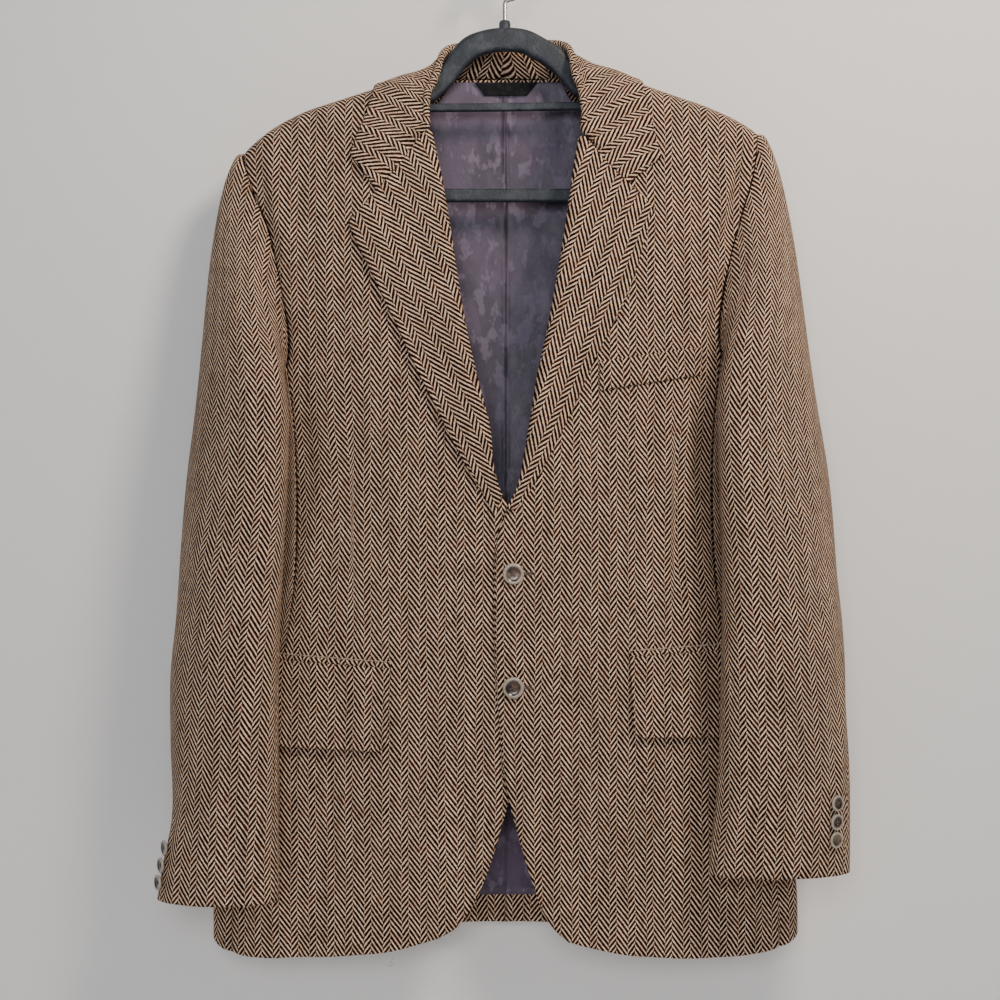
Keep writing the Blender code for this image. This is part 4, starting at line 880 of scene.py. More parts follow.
def sleeve_places(side, turns):
    """Lines of points from the armhole to the cuff, one column a turn."""
    signed = np.where(turns <= 180, turns, turns - 360)
    ahead_out, ahead_level = armhole(side, np.abs(signed))
    behind_out, behind_level = armhole(side, np.abs(signed), True)
    ahead_level = np.where(np.abs(signed) < 1, shoulder_level(side, ahead_out, False), ahead_level)
    start_ahead = front(side, ahead_out, ahead_level)
    start_behind = back(side, behind_out, behind_level)
    start = np.where((signed >= 0)[:, None], start_ahead, start_behind)
    away = np.stack([side * head("out", turns), -head("ahead", turns), -head("down", turns)], axis=-1)
    away = unit(away)
    foot = ring(side, ring_turn(side, turns, 0.0), HEAD_FOOT[side])
    below = ring(side, ring_turn(side, turns, 0.0), HEAD_FOOT[side] - 30.0)
    start = start + away * ARMHOLE_GAP
    second = start + away * head("reach", turns)[:, None]
    drop = np.linalg.norm(foot - start, axis=-1, keepdims=True)
    third = foot + unit(foot - below) * head("rise", turns)[:, None] * drop
    rows = []
    for t in np.linspace(0, 1, HEAD_STEPS):
        lead = start * (1 - t) ** 3 + second * 3 * t * (1 - t) ** 2
        rows.append(lead + third * 3 * t * t * (1 - t) + foot * t ** 3)
    for t in np.linspace(0, 1, ARM_STEPS)[1:]:
        height = HEAD_FOOT[side] + (CUFF[side] - HEAD_FOOT[side]) * t
        rows.append(ring(side, ring_turn(side, turns, t), height))
    return np.array(rows)


def sleeve_relief(side, turn, height):
    """Creases of a sleeve and the small gathers where its head is eased into the armhole."""
    lift = np.zeros(np.shape(height))
    for k, (turn_0, height_0, turn_1, height_1, width, rise) in enumerate(SLEEVE_CREASES[side]):
        run = np.array([(turn_1 - turn_0), (height_1 - height_0)], dtype=float)
        length = np.linalg.norm(run)
        along = ((turn - turn_0) * run[0] + (height - height_0) * run[1]) / length ** 2
        aside = ((turn - turn_0) * run[1] - (height - height_0) * run[0]) / length
        aside = aside + width * 0.4 * np.sin(4.0 * along + 2.1 * k)
        lift += rise * np.exp(-(aside / width) ** 2) * ease(-0.1, 0.3, along) * ease(1.1, 0.7, along)
    return lift + 0.35 * np.sin(turn / 7.5 + 1.1 * np.sin(height / 90.0))


TOP_SLEEVE_COLUMNS = 74
UNDER_SLEEVE_COLUMNS = 52
TOP_FLAT = (0.205, 0.735)
UNDER_FLAT = (0.155, 0.60)
TOP_AREA = 0.1175
UNDER_AREA = 0.076

for side in (LEFT, RIGHT):
    over = np.linspace(HINDARM_TURN, FOREARM_TURN, TOP_SLEEVE_COLUMNS)
    under = np.linspace(FOREARM_TURN, HINDARM_TURN + 360, UNDER_SLEEVE_COLUMNS)
    for name, turns, flat, area in (
        ("top_sleeve_", over, TOP_FLAT, TOP_AREA),
        ("under_sleeve_", under, UNDER_FLAT, UNDER_AREA),
    ):
        places = sleeve_places(side, turns)
        rows, columns = places.shape[:2]
        normals = unit(np.cross(np.gradient(places, axis=1), np.gradient(places, axis=0)))
        spread = places - places.mean(axis=1, keepdims=True)
        if np.sum(normals[HEAD_STEPS:] * spread[HEAD_STEPS:]) < 0:
            normals = -normals
        i = np.arange(rows)[:, None]
        roping = 0.9 * np.exp(-((i - 5.0) / 4.0) ** 2) * ease(130, 60, np.abs(turns))[None]
        gathers = 0.35 * np.sin(turns * 0.9 + 0.6 * np.sin(turns * 0.23))[None] * np.exp(-i / 9.0)
        lift = -0.5 * edge_roll(rows, columns, ("inner", "outer"), 2.6) + roping + gathers
        lift = lift * ease(0, 3, i)
        relief = sleeve_relief(side, turns[None] + np.zeros((rows, 1)), places[..., 2])
        lift = lift + relief * ease(0, 14, i)
        places = places + normals * lift[..., None]
        level_places = places * (1.0, 1.0, 0.0)
        u = lengths(level_places, 1)
        if name == "top_sleeve_":
            u = u - u[:, -1:]
        guess = np.stack([6.0 - u * side, places[..., 2] + 0 * u], axis=-1)
        free = HEAD_STEPS + 8
        weave = guess.copy()
        weave[:free] = laid_flat(places[:free], guess[:free], 1, 500)
        outward = (0, -1, 0) if name == "top_sleeve_" else (-side, 1, 0)
        piece = make_cloth("cloth_" + name + SIDES[side], places, weave, tweed, outward)
        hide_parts(name + SIDES[side])

# ---------------------------------------------------------------- the lapels
# The upper end of each front's facing, rolled back over the edge and pressed flat from the gorge
# to the top button.  The grain runs with the edge.

LAPEL_CLOTH = 2.4
LAID_ON = 1.3
NOTCH_OUT = {LEFT: 121.0, RIGHT: 114.5}
LAPEL_TIP = {LEFT: (147.0, -264.5), RIGHT: (138.0, -250.0)}
LAPEL_EDGE = {
    LEFT: (
        (-264.5, 147),
        (-283, 139.5),
        (-299, 131),
        (-321, 120.5),
        (-358, 102.5),
        (-405, 81),
        (-432, 67),
        (-462, 52.5),
        (-491, 37.5),
        (-518, 21.5),
        (-540, 9),
    ),
    RIGHT: (
        (-250, 138),
        (-263, 134),
        (-277, 129),
        (-296, 124),
        (-315, 118),
        (-335, 111.5),
        (-363, 96.5),
        (-397, 79.5),
        (-426, 67),
        (-467, 47.5),
        (-500, 30),
        (-518, 19.5),
        (-532, 9),
    ),
}
LAPEL_TOP = {LEFT: -182.0, RIGHT: -189.0}
LAPEL_FOOT_INNER = {LEFT: -518.0, RIGHT: -531.0}
LAPEL_FOOT_OUTER = {LEFT: -538.0, RIGHT: -532.0}
# the roll: how far past the edge the cloth lies and how high above the front, also at the foot
LAPEL_ROLL = (
    (0.0, 4.4, -1.8, 0.9, 3.8),
    (0.2, 5.2, 1.2, 0.1, 4.7),
    (0.4, 4.2, 4.8, -0.3, 4.7),
    (0.6, 1.2, 7.6, -1.0, 4.9),
    (0.8, -4.0, 8.4, -2.0, 5.0),
    (1.0, -12.0, 7.6, -3.5, 4.9),
)
LAPEL_ROWS = 150
ROLL_COLUMNS = 14
LAPEL_COLUMNS = 34
LAPEL_GRAIN = {LEFT: math.radians(25), RIGHT: math.radians(-24)}
EDGE_STITCH = 6.0
LAPEL_SPRING = 3.0
LAPEL_MEETS = 5.0


def stitched_edge(away, depth=0.55):
    """The groove of a stitch line a few millimetres inside an edge, and the edge's soft turn."""
    groove = -depth * np.exp(-((away - EDGE_STITCH) / 1.3) ** 2)
    return groove + 0.25 * np.exp(-((away - 2.6) / 1.8) ** 2) - 0.5 * np.exp(-(away / 0.8) ** 2)


for side in (LEFT, RIGHT):
    t = np.linspace(0, 1, LAPEL_ROWS)[:, None]
    inner_level = LAPEL_TOP[side] + (LAPEL_FOOT_INNER[side] - LAPEL_TOP[side]) * t
    tip_level = LAPEL_TIP[side][1]
    outer_level = tip_level + (LAPEL_FOOT_OUTER[side] - tip_level) * t
    inner_out = front_edge(side, inner_level)
    outer_out = read(LAPEL_EDGE[side], 1, outer_level)
    foot = ease(0.78, 0.97, t)
    r = np.linspace(0, 1, ROLL_COLUMNS)[None]
    past = read(LAPEL_ROLL, 1, r) * (1 - foot) + read(LAPEL_ROLL, 3, r) * foot
    roll_lift = read(LAPEL_ROLL, 2, r) * (1 - foot) + read(LAPEL_ROLL, 4, r) * foot
    roll_out = inner_out - past
    slope = (outer_level - inner_level) / (outer_out - inner_out)
    roll_level = inner_level + slope * np.maximum(0.0, roll_out - inner_out)
    s = np.linspace(0, 1, LAPEL_COLUMNS + 1)[None, 1:]
    flat_out = roll_out[:, -1:] + (outer_out - roll_out[:, -1:]) * s
    flat_level = roll_level[:, -1:] + (outer_level - roll_level[:, -1:]) * s
    flat_lift = roll_lift[:, -1:] + (LAID_ON + LAPEL_CLOTH - roll_lift[:, -1:]) * s
    out = np.concatenate([roll_out, flat_out], axis=1)
    level = np.concatenate([roll_level, flat_level], axis=1)
    lift = np.concatenate([roll_lift, flat_lift], axis=1)
    level = level + LAPEL_MEETS * (1 - t) ** 10 * ease(30, -2, out - inner_out)
    away = (outer_out - out) * 0.9
    lift = lift + stitched_edge(away) * ease(0.0, 0.1, 1 - t)
    lift = lift + LAPEL_SPRING * ease(60, 0, away) * ease(0.0, 0.12, t) * ease(1.0, 0.75, t)
    lift = lift + 0.5 * np.sin(level / 37.0 + out / 22.0) * ease(0, 30, out - inner_out)
    lift = lift + 0.5 * front_relief(side, out, level)
    places = front(side, out, level) + normal_of(front, side, out, level) * lift[..., None]
    grain = LAPEL_GRAIN[side]
    x = places[..., 0]
    v = places[..., 2] * math.cos(grain) - x * math.sin(grain)
    u = x * math.cos(grain) + places[..., 2] * math.sin(grain)
    weave = np.stack([u + 3.0, v], axis=-1)
    piece = make_cloth("cloth_lapel_" + SIDES[side], places, weave, tweed, (0, -1, 0), LAPEL_CLOTH)
    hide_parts("lapel_" + SIDES[side])

# ---------------------------------------------------------------- the collar
# One strip of tweed round the neck: a stand sewn to the neckline, a fold, and a fall that lies over
# the shoulders down to the notches.  The warp runs across it.

COLLAR_CLOTH = 1.5
COLLAR_FOLD_ROUND = 3.8
COLLAR_FOLD_END = math.radians(168)
COLLAR_FALL_SWELL = 2.6
COLLAR_LAID_ON = 4.2
COLLAR_SEAM_LIFT = 1.0
COLLAR_SWELL = 3.0
COLLAR_SETTLED = 3.2
COLLAR = {
    "seam_out": 1,
    "seam_drop": 2,
    "fold_out": 3,
    "fold_depth": 4,
    "fold_height": 5,
    "edge_out": 6,
    "edge_drop": 7,
}
COLLAR_ROWS = {
    LEFT: (
        (0, 76.0, 77, 70.5, -45, -177, 127, 31),
        (1, 78.0, 66, 71.5, -42, -162, 124.5, 19),
        (2, 80.5, 48, 71.0, -37, -144, 123, 9),
        (3, 82.5, 25, 69.0, -30, -126, 120, -3),
        (4, 83.0, 8, 66.5, -18, -109, 116, -18),
        (5, 81.0, -9, 62.0, -2, -90, 107, -34),
        (6, 66.0, -19, 50.0, 14, -80, 86, -48),
        (7, 34.0, -44, 25.0, 26, -75, 48, -60),
        (8, 0.0, -62, 0.0, 30, -73, 0, -82),
    ),
    RIGHT: (
        (0, 73.5, 84, 68.5, -45, -182, 131, 37),
        (1, 77.5, 64, 70.0, -42, -160, 129, 21),
        (2, 80.0, 46, 68.0, -37, -141, 127, 11),
        (3, 82.5, 25, 66.5, -30, -123, 124, -1),
        (4, 83.0, 8, 65.5, -18, -105, 119, -16),
        (5, 81.0, -9, 62.5, -2, -86, 110, -34),
        (6, 66.0, -25, 51.0, 14, -77, 88, -52),
        (7, 34.0, -49, 25.0, 26, -74, 48, -66),
        (8, 0.0, -62, 0.0, 30, -73, 0, -82),
    ),
}
# where the collar lies on the lapel: share along the gorge, and its edge
COLLAR_FRONT_ROWS = {
    LEFT: ((1.0, 146, 79), (0.67, 138, 58), (0.33, 132.5, 47)),
    RIGHT: ((1.0, 145.5, 87), (0.67, 141, 72), (0.33, 136, 53)),
}
STAND_STEPS = 7
FOLD_STEPS = 12
FALL_STEPS = 22
COLLAR_ACROSS = STAND_STEPS + FOLD_STEPS + FALL_STEPS
STATION_STEP = 0.125


def shell_normal(side, out, drop):
    across = shell(side, out + 1.0, drop) - shell(side, out - 1.0, drop)
    down = shell(side, out, drop + 1.0) - shell(side, out, drop - 1.0)
    return unit(np.cross(down, across) * side)


def on_shell(side, out, drop, lift):
    return shell(side, out, drop) + shell_normal(side, out, drop) * np.asarray(lift)[..., None]


def collar_section(side, k):
    """Points across the collar: up the stand, round the fold and down to the free edge."""
    at = {name: float(read(COLLAR_ROWS[side], column, k)) for name, column in COLLAR.items()}
    stand = float(ease(-0.6, 2.0, k))
    laid = COLLAR_LAID_ON + COLLAR_CLOTH
    fold = np.array([side * at["fold_out"], at["fold_depth"], at["fold_height"]])
    foot = on_shell(side, at["seam_out"], at["seam_drop"], COLLAR_SEAM_LIFT)
    crown = shell_normal(side, at["seam_out"], max(at["seam_drop"], 0.0))
    inboard = fold - on_shell(side, at["edge_out"], at["edge_drop"], laid)
    inboard = unit(inboard - crown * np.dot(inboard, crown))
    lead = math.radians(90) * float(ease(60, 8, at["seam_drop"]))
    centre = fold - (inboard * math.cos(lead) + crown * math.sin(lead)) * COLLAR_FOLD_ROUND
    to_foot = foot - centre
    reach = math.hypot(np.dot(to_foot, inboard), np.dot(to_foot, crown))
    leaves = math.atan2(np.dot(to_foot, crown), np.dot(to_foot, inboard))
    leaves += math.acos(min(1.0, COLLAR_FOLD_ROUND / reach))
    if leaves > math.pi / 2:
        leaves -= 2 * math.pi
    turns = np.linspace(leaves, COLLAR_FOLD_END, FOLD_STEPS)[:, None]
    bow = centre + (inboard * np.cos(turns) + crown * np.sin(turns)) * COLLAR_FOLD_ROUND
    s = np.linspace(0, 1, STAND_STEPS + 1)[:-1, None]
    rise = foot + (bow[0] - foot) * s + inboard * stand * np.sin(math.pi * s)
    over = bow[-1] - on_shell(side, at["seam_out"], at["seam_drop"], laid)
    s = np.linspace(0, 1, FALL_STEPS + 1)[1:]
    out = at["seam_out"] + (at["edge_out"] - at["seam_out"]) * s
    drop = at["seam_drop"] + (at["edge_drop"] - at["seam_drop"]) * s
    normal = shell_normal(side, out, drop)
    shift = over[None] * ((1 - s) ** 1.7)[:, None]
    shift = shift - normal * np.minimum(0.0, np.sum(shift * normal, axis=1))[:, None]
    swell = laid + COLLAR_FALL_SWELL * stand * np.sin(math.pi * s)
    swell = swell - COLLAR_SETTLED * ease(0.4, 1.0, s) * ease(1.0, 3.0, k)
    swell = swell + stitched_edge((1 - s) * 46.0, 0.4)
    fall = shell(side, out, drop) + normal * swell[:, None] + shift
    return np.concatenate([rise, bow, fall])


def collar_on_lapel(side, share):
    """A flat row where the collar meets the gorge."""
    rows = tuple(reversed(COLLAR_FRONT_ROWS[side]))
    edge_out, edge_drop = float(read(rows, 1, share)), float(read(rows, 2, share))
    start_out, start_level = float(front_edge(side, LAPEL_TOP[side])), LAPEL_TOP[side]
    tip_out, tip_level = LAPEL_TIP[side]
    out = start_out + (NOTCH_OUT[side] - start_out) * share
    level = start_level + (tip_level - start_level) / (tip_out - start_out) * (out - start_out)
    seam_drop = float(ridge(side, out)) + UNROLL - level - 0.8
    s = np.linspace(0, 1, COLLAR_ACROSS) ** 1.15
    lift = COLLAR_LAID_ON + COLLAR_CLOTH + COLLAR_SWELL * np.sin(math.pi * s) * (1 - share * 0.7)
    away = np.minimum((1 - s) * 46.0, np.full(len(s), (1.0 - share) * 42.0 + 0.4))
    lift = lift + stitched_edge(away, 0.4)
    return on_shell(side, out + (edge_out - out) * s, seam_drop + (edge_drop - seam_drop) * s, lift)


halves = []
for side in (LEFT, RIGHT):
    rows = [collar_on_lapel(side, share) for share in np.linspace(1.0, 0.3, 14)]
    rows += [collar_section(side, k) for k in np.arange(0, 8.001, STATION_STEP)]
    halves.append(rows)
places = np.array(halves[0] + halves[1][-2::-1])
smoothed = places.copy()
for _ in range(3):
    smoothed[1:-1] = (smoothed[:-2] + 2 * smoothed[1:-1] + smoothed[2:]) / 4
places = smoothed
fold_column = STAND_STEPS + FOLD_STEPS
along = lengths(places, 0)[:, fold_column:fold_column + 12].mean(axis=1, keepdims=True)
across = lengths(places, 1)
guess = np.stack([-along + np.zeros_like(across), across[:, fold_column:fold_column + 1] - across], axis=-1)
guess[..., 0] -= guess[len(guess) // 2, 0, 0]
weave = laid_flat(places[:, STAND_STEPS:], guess[:, STAND_STEPS:], 0, 1200)
stand_weave = guess[:, :STAND_STEPS] - guess[:, STAND_STEPS:STAND_STEPS + 1] + weave[:, :1]
weave = np.concatenate([stand_weave, weave], axis=1)
collar = make_cloth("cloth_collar", places, weave, tweed, (0, 0, 1), COLLAR_CLOTH)
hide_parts("collar")

# ---------------------------------------------------------------- the pockets
# Two straight flaps sewn in under a narrow jet, and a slanting breast welt, all of the same tweed
# and laid on the fronts with their grain matched to it.

FLAP = {
    LEFT: ((107.5, -680), (214, -674), (110.5, -757.5), (214, -755)),
    RIGHT: ((115, -669.5), (214, -664), (118, -744.5), (214, -746)),
}
FLAP_CORNER = 12.0
JET_HEIGHT = 5.0
WELT = ((86.5, -394.4), (183.4, -379.5), (86.5, -421.4), (183.4, -405.6))


def laid_cells(corners, rows, columns, round_corner=0.0):
    top_inner, top_outer, bottom_inner, bottom_outer = (np.array(c, dtype=float) for c in corners)
    t = np.linspace(0, 1, rows)[:, None, None]
    s = np.linspace(0, 1, columns)[None, :, None]
    inner = top_inner + (bottom_inner - top_inner) * t
    outer = top_outer + (bottom_outer - top_outer) * t
    cells = inner + (outer - inner) * s
    if round_corner:
        reach = np.clip(1 - (cells[..., 0] - inner[..., 0]) / round_corner, 0, 1)
        cells[..., 1] += round_corner * 0.6 * reach ** 2 * t[..., 0] ** 6
    return cells


def lay_on_front(name, side, cells, lift, nudge):
    out, level = cells[..., 0], cells[..., 1]
    places = on_front(side, out, level, LAID_ON + TWEED + lift)
    weave = np.stack([side * girth(places, out[:, 0]) + FRONT_MATCH[side] + nudge, level], axis=-1)
    piece = make_cloth("cloth_" + name, places, weave, tweed, (0, -1, 0))
    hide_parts(name)
    return piece


for side in (LEFT, RIGHT):
    cells = laid_cells(FLAP[side], 70, 84, FLAP_CORNER)
    top_inner, top_outer, bottom_inner, bottom_outer = FLAP[side]
    t = np.linspace(0, 1, 70)[:, None]
    s = np.linspace(0, 1, 84)[None]
    away = np.minimum((1 - t) * 80.0, s * 105.0)
    lift = stitched_edge(away, 0.6) + 3.4 * ease(0.3, 1.0, t) - 1.0 * ease(0.08, 0.0, t)
    lift = lift + 2.2 * ease(0.14, 0.0, s) * ease(0.1, 0.5, t)
    lift = lift + 0.5 * np.sin(s * 9.0 + 1.0) * t
    lay_on_front("flap_" + SIDES[side], side, cells, lift, 1.5 * side)
    raised = [(out, level + JET_HEIGHT + SEAM) for out, level in (top_inner, top_outer)]
    lowered = [(out, level + SEAM) for out, level in (top_inner, top_outer)]
    cells = laid_cells(raised + lowered, 12, 84)
    round_over = -1.0 + 0.9 * np.sin(np.pi * np.linspace(0, 1, 12))[:, None] + np.zeros((1, 84))
    lay_on_front("jet_" + SIDES[side], side, cells, round_over, 5.0)

cells = laid_cells(WELT, 26, 84)
t = np.linspace(0, 1, 26)[:, None]
s = np.linspace(0, 1, 84)[None]
away = np.minimum(np.minimum(t * 26.0, (1 - t) * 26.0), np.minimum(s, 1 - s) * 97.0)
lay_on_front("breast_welt", RIGHT, cells, -1.0 * np.exp(-(away / 1.6) ** 2) - 0.4, 6.5)

# ---------------------------------------------------------------- the back linings and the label
# Two linings of grey mauve satin inside the backs, with a pleat down the centre, and a plain dark
# woven label sewn at the neck.  They show through the neck, behind the hanger.

LINING_TOP = -114.0
LINING_TOP_OUT = 56.0
LINING_FOOT = -910.0
LINING_CLEAR = 1.4
LINING_CLEAR_AT_NECK = 2.5
LINING_WIDTH_SHARE = 0.80
LINING_CLOTH = 0.7
LINING_FREE = 0.9
SATIN = (0.094, 0.066, 0.110)
# the lining's painted shade and painted sheen colours, for the light and dark of its wrinkles
SATIN_PAINTED_SHADE = (0.056, 0.039, 0.068)
SATIN_PAINTED_SHEEN = (0.19, 0.155, 0.225)
LABEL_HALF = (31.0, 21.0)
LABEL_LEVEL = (-114.5, -127.0)


def satin_finish(name):
    n = Nodes(name, 0.42)
    where = n.put("ShaderNodeTexCoord").outputs["Object"]
    blotch = n.noise(where, 26.0, 4.0, 0.6, (1.0, 1.0, 0.55))
    cloudy = n.noise(where, 75.0, 3.0, 0.65, (1.0, 1.0, 0.6))
    # Painted light of wrinkled satin: the dark blotches are painted shade and the pale cloudy patches are
    # painted sheen over the mauve.
    colour = n.mix(n.ramp(blotch.outputs[0], 0.42, 0.58), SATIN_PAINTED_SHADE, SATIN)
    colour = n.mix(n.do("MULTIPLY", n.ramp(cloudy.outputs[0], 0.52, 0.62), 0.6), colour, SATIN_PAINTED_SHEEN)
    n.tree.links.new(colour, n.shader.inputs["Base Color"])
    dull = n.do("ADD", 0.3, n.do("MULTIPLY", cloudy.outputs[0], 0.3))
    n.tree.links.new(dull, n.shader.inputs["Roughness"])
    n.shader.inputs["Specular IOR Level"].default_value = 0.38
    n.shader.inputs["Anisotropic"].default_value = 0.4
    n.shader.inputs["Sheen Weight"].default_value = 0.06
    ribs = n.noise(where, 1500.0, 1.0, 0.5, (1.0, 1.0, 0.15))
    n.bump(n.do("ADD", ribs.outputs[0], n.do("MULTIPLY", blotch.outputs[0], 6.0)), 0.0004, 0.5)
    return n.made


satin = satin_finish("lining_satin_finish")
for side in (LEFT, RIGHT):
    top_levels = np.linspace(LINING_TOP, -200.0, 60)
    levels = np.concatenate([top_levels, np.linspace(-200.0, LINING_FOOT, 90)[1:]])[:, None]
    widest = body(side, levels) * LINING_WIDTH_SHARE
    widest = LINING_TOP_OUT + (widest - LINING_TOP_OUT) * ease(-110, -260, levels)
    share = np.linspace(0, 1, 64)[None]
    out = SEAM / 2 + (widest - SEAM / 2) * share
    level = levels + 0 * out
    clear = LINING_CLEAR + LINING_CLEAR_AT_NECK * (1 - ease(-110, -240, level))
    pleat = 1.6 * np.exp(-((out - 5.0) / 3.5) ** 2) - 0.9 * np.exp(-(out / 2.0) ** 2)
    wrinkles = 0.8 * np.sin(level / 9.0 + 1.8 * np.sin(out / 14.0)) * np.exp(-((out - 22.0) / 22.0) ** 2)
    wrinkles = wrinkles + 0.7 * np.sin(out / 6.5 + 1.5 * np.sin(level / 23.0))
    folds = np.minimum((pleat + wrinkles) * ease(-116, -130, level) * 0.8, clear - LINING_FREE)
    lift = -TWEED - clear + folds
    places = back(side, out, level) + normal_of(back, side, out, level) * lift[..., None]
    weave = np.stack([out, level], axis=-1)
    piece = make_cloth("cloth_lining_" + SIDES[side], places, weave, satin, (0, 1, 0), LINING_CLOTH)
    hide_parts("lining_" + SIDES[side])

n = Nodes("label_weave", 0.6)
where = n.put("ShaderNodeTexCoord").outputs["Object"]
threads = n.put("ShaderNodeTexWave", bands_direction="Z")
n.feed(threads.inputs["Vector"], where)
threads.inputs["Scale"].default_value = 700.0
mottle = n.noise(where, 220.0, 3.0)
ink = n.mix(n.ramp(mottle.outputs[0], 0.35, 0.7), (0.004, 0.004, 0.006), (0.014, 0.014, 0.018))
n.tree.links.new(ink, n.shader.inputs["Base Color"])
n.shader.inputs["Sheen Weight"].default_value = 0.03
n.shader.inputs["Specular IOR Level"].default_value = 0.2
n.bump(threads.outputs[1], 0.0002, 0.6)
t = np.linspace(0, 1, 12)[:, None]
s = np.linspace(-1, 1, 61)[None]
half = LABEL_HALF[0] + (LABEL_HALF[1] - LABEL_HALF[0]) * t
level = LABEL_LEVEL[0] + (LABEL_LEVEL[1] - LABEL_LEVEL[0]) * t + 0 * s
label_lift = -TWEED - LINING_CLEAR - LINING_CLEAR_AT_NECK - 1.0 - LAID_ON
sides = [
    back(at, np.abs(s) * half, level)
    + normal_of(back, at, np.abs(s) * half, level) * (label_lift + 0.25 * np.sin(s * 9.0))[..., None]
    for at in (LEFT, RIGHT)
]
places = np.where((s < 0)[..., None], sides[0], sides[1])
label = make_cloth("cloth_neck_label", places, np.stack([s * half, level], axis=-1), n.made, (0, 1, 0), 0.5)
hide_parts("neck_label")

# ---------------------------------------------------------------- the buttons
# Turned horn buttons, dark brown with cream flecks, sewn through four holes: two on the right front
# and three overlapping a little on each cuff. The buttonholes are worked in matching twist.

FRONT_BUTTON_RADIUS = 10.0
FRONT_BUTTON_OUT = 6.6
FRONT_BUTTON_SHANK = 1.6
FRONT_BUTTON_LEVELS = (-591.5, -697.5)
CUFF_BUTTON_RADIUS = 7.4
CUFF_BUTTON_TURN = {LEFT: 20.0, RIGHT: 47.0}
CUFF_BUTTON_LEVELS = {LEFT: (-843.0, -858.6, -874.2), RIGHT: (-799.5, -816.5, -832.5)}
CUFF_BUTTON_SHANK = 2.2
# turned face of a button from its back round the rim to the sunk middle: across and height
BUTTON_TURNING = (
    (0.0, 0.0),
    (0.60, 0.0),
    (0.80, 0.03),
    (0.93, 0.09),
    (0.985, 0.17),
    (1.0, 0.24),
    (0.985, 0.31),
    (0.93, 0.365),
    (0.85, 0.39),
    (0.77, 0.385),
    (0.70, 0.35),
    (0.64, 0.30),
    (0.56, 0.265),
    (0.42, 0.25),
    (0.20, 0.245),
    (0.0, 0.245),
)
BUTTON_SPOKES = 48
HOLE_OUT = 0.21
HOLE_RADIUS = 0.085
HORN_DARK = (0.014, 0.008, 0.005)
HORN_BROWN = (0.085, 0.040, 0.020)
HORN_CREAM = (0.46, 0.33, 0.20)
HORN_RIM = (0.40, 0.35, 0.28)
TWIST = (0.055, 0.030, 0.018)


def horn_finish(name, seed):
    n = Nodes(name, 0.2)
    where = n.shift("ADD", n.put("ShaderNodeTexCoord").outputs["Object"], seed)
    swirl = n.noise(where, 95.0, 4.0, 0.6, (1.0, 1.0, 0.6))
    fleck = n.noise(where, 105.0, 2.0, 0.5, (0.7, 1.0, 1.2))
    colour = n.mix(n.ramp(swirl.outputs[0], 0.42, 0.68), HORN_DARK, HORN_BROWN)
    colour = n.mix(n.do("MULTIPLY", n.ramp(fleck.outputs[0], 0.56, 0.64), 0.25), colour, HORN_CREAM)
    share = n.put("ShaderNodeSeparateXYZ")
    n.feed(share.inputs[0], n.put("ShaderNodeUVMap", uv_map="turned").outputs[0])
    # Paler towards the rim, with the edge of the pale ring broken up by the swirl.
    rim_share_swirled = n.do("ADD", share.outputs[0], n.do("MULTIPLY", n.do("SUBTRACT", swirl.outputs[0], 0.5), 0.5))
    colour = n.mix(n.do("MULTIPLY", n.ramp(rim_share_swirled, 0.70, 0.90), 0.85), colour, HORN_RIM)
    n.tree.links.new(colour, n.shader.inputs["Base Color"])
    dull = n.do("ADD", 0.14, n.do("MULTIPLY", swirl.outputs[0], 0.2))
    n.tree.links.new(dull, n.shader.inputs["Roughness"])
    n.shader.inputs["Coat Weight"].default_value = 0.5
    n.shader.inputs["Coat Roughness"].default_value = 0.12
    n.bump(n.noise(where, 800.0, 2.0).outputs[0], 0.0001, 0.25)
    return n.made


def thread_finish(name, colour, pale):
    n = Nodes(name, 0.7)
    where = n.put("ShaderNodeTexCoord").outputs["Object"]
    ply = n.noise(where, 900.0, 2.0, 0.6)
    n.tree.links.new(n.mix(n.ramp(ply.outputs[0], 0.35, 0.7), colour, pale), n.shader.inputs["Base Color"])
    n.shader.inputs["Sheen Weight"].default_value = 0.3
    n.bump(ply.outputs[0], 0.0002, 0.6)
    return n.made


twist = thread_finish("buttonhole_twist", TWIST, (0.16, 0.10, 0.065))


def solid(name, vertices, faces, finish, smooth=True):
    mesh = bpy.data.meshes.new(name)
    mesh.from_pydata((np.asarray(vertices) * MM).tolist(), [], faces)
    mesh.validate()
    mesh.polygons.foreach_set("use_smooth", np.full(len(mesh.polygons), smooth))
    mesh.materials.append(finish)
    piece = bpy.data.objects.new(name, mesh)
    bpy.context.scene.collection.objects.link(piece)
    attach(piece, "root")
    return piece


def tube(path, radius, steps=10, closed=False):
    """Vertices and faces of a round cord along a path; the radius may be a number or one a point."""
    path = np.asarray(path, dtype=float)
    heading = np.gradient(path, axis=0)
    if closed:
        heading = np.roll(path, -1, axis=0) - np.roll(path, 1, axis=0)
    heading = unit(heading)
    aside = unit(np.cross(heading, (0.0, 1.0, 0.03)))
    up = np.cross(aside, heading)
    turn = np.linspace(0, 2 * math.pi, steps, endpoint=False)
    radius = np.broadcast_to(np.asarray(radius, dtype=float), (len(path),))[:, None, None]
    rings = aside[:, None] * np.cos(turn)[None, :, None] + up[:, None] * np.sin(turn)[None, :, None]
    vertices = (path[:, None] + rings * radius).reshape(-1, 3)
    faces = []
    for i in range(len(path) if closed else len(path) - 1):
        after = (i + 1) % len(path)
        for k in range(steps):
            nxt = (k + 1) % steps
            faces.append((i * steps + k, i * steps + nxt, after * steps + nxt, after * steps + k))
    if not closed:
        faces.append(tuple(range(steps))[::-1])
        faces.append(tuple(range((len(path) - 1) * steps, len(path) * steps)))
    return vertices, faces


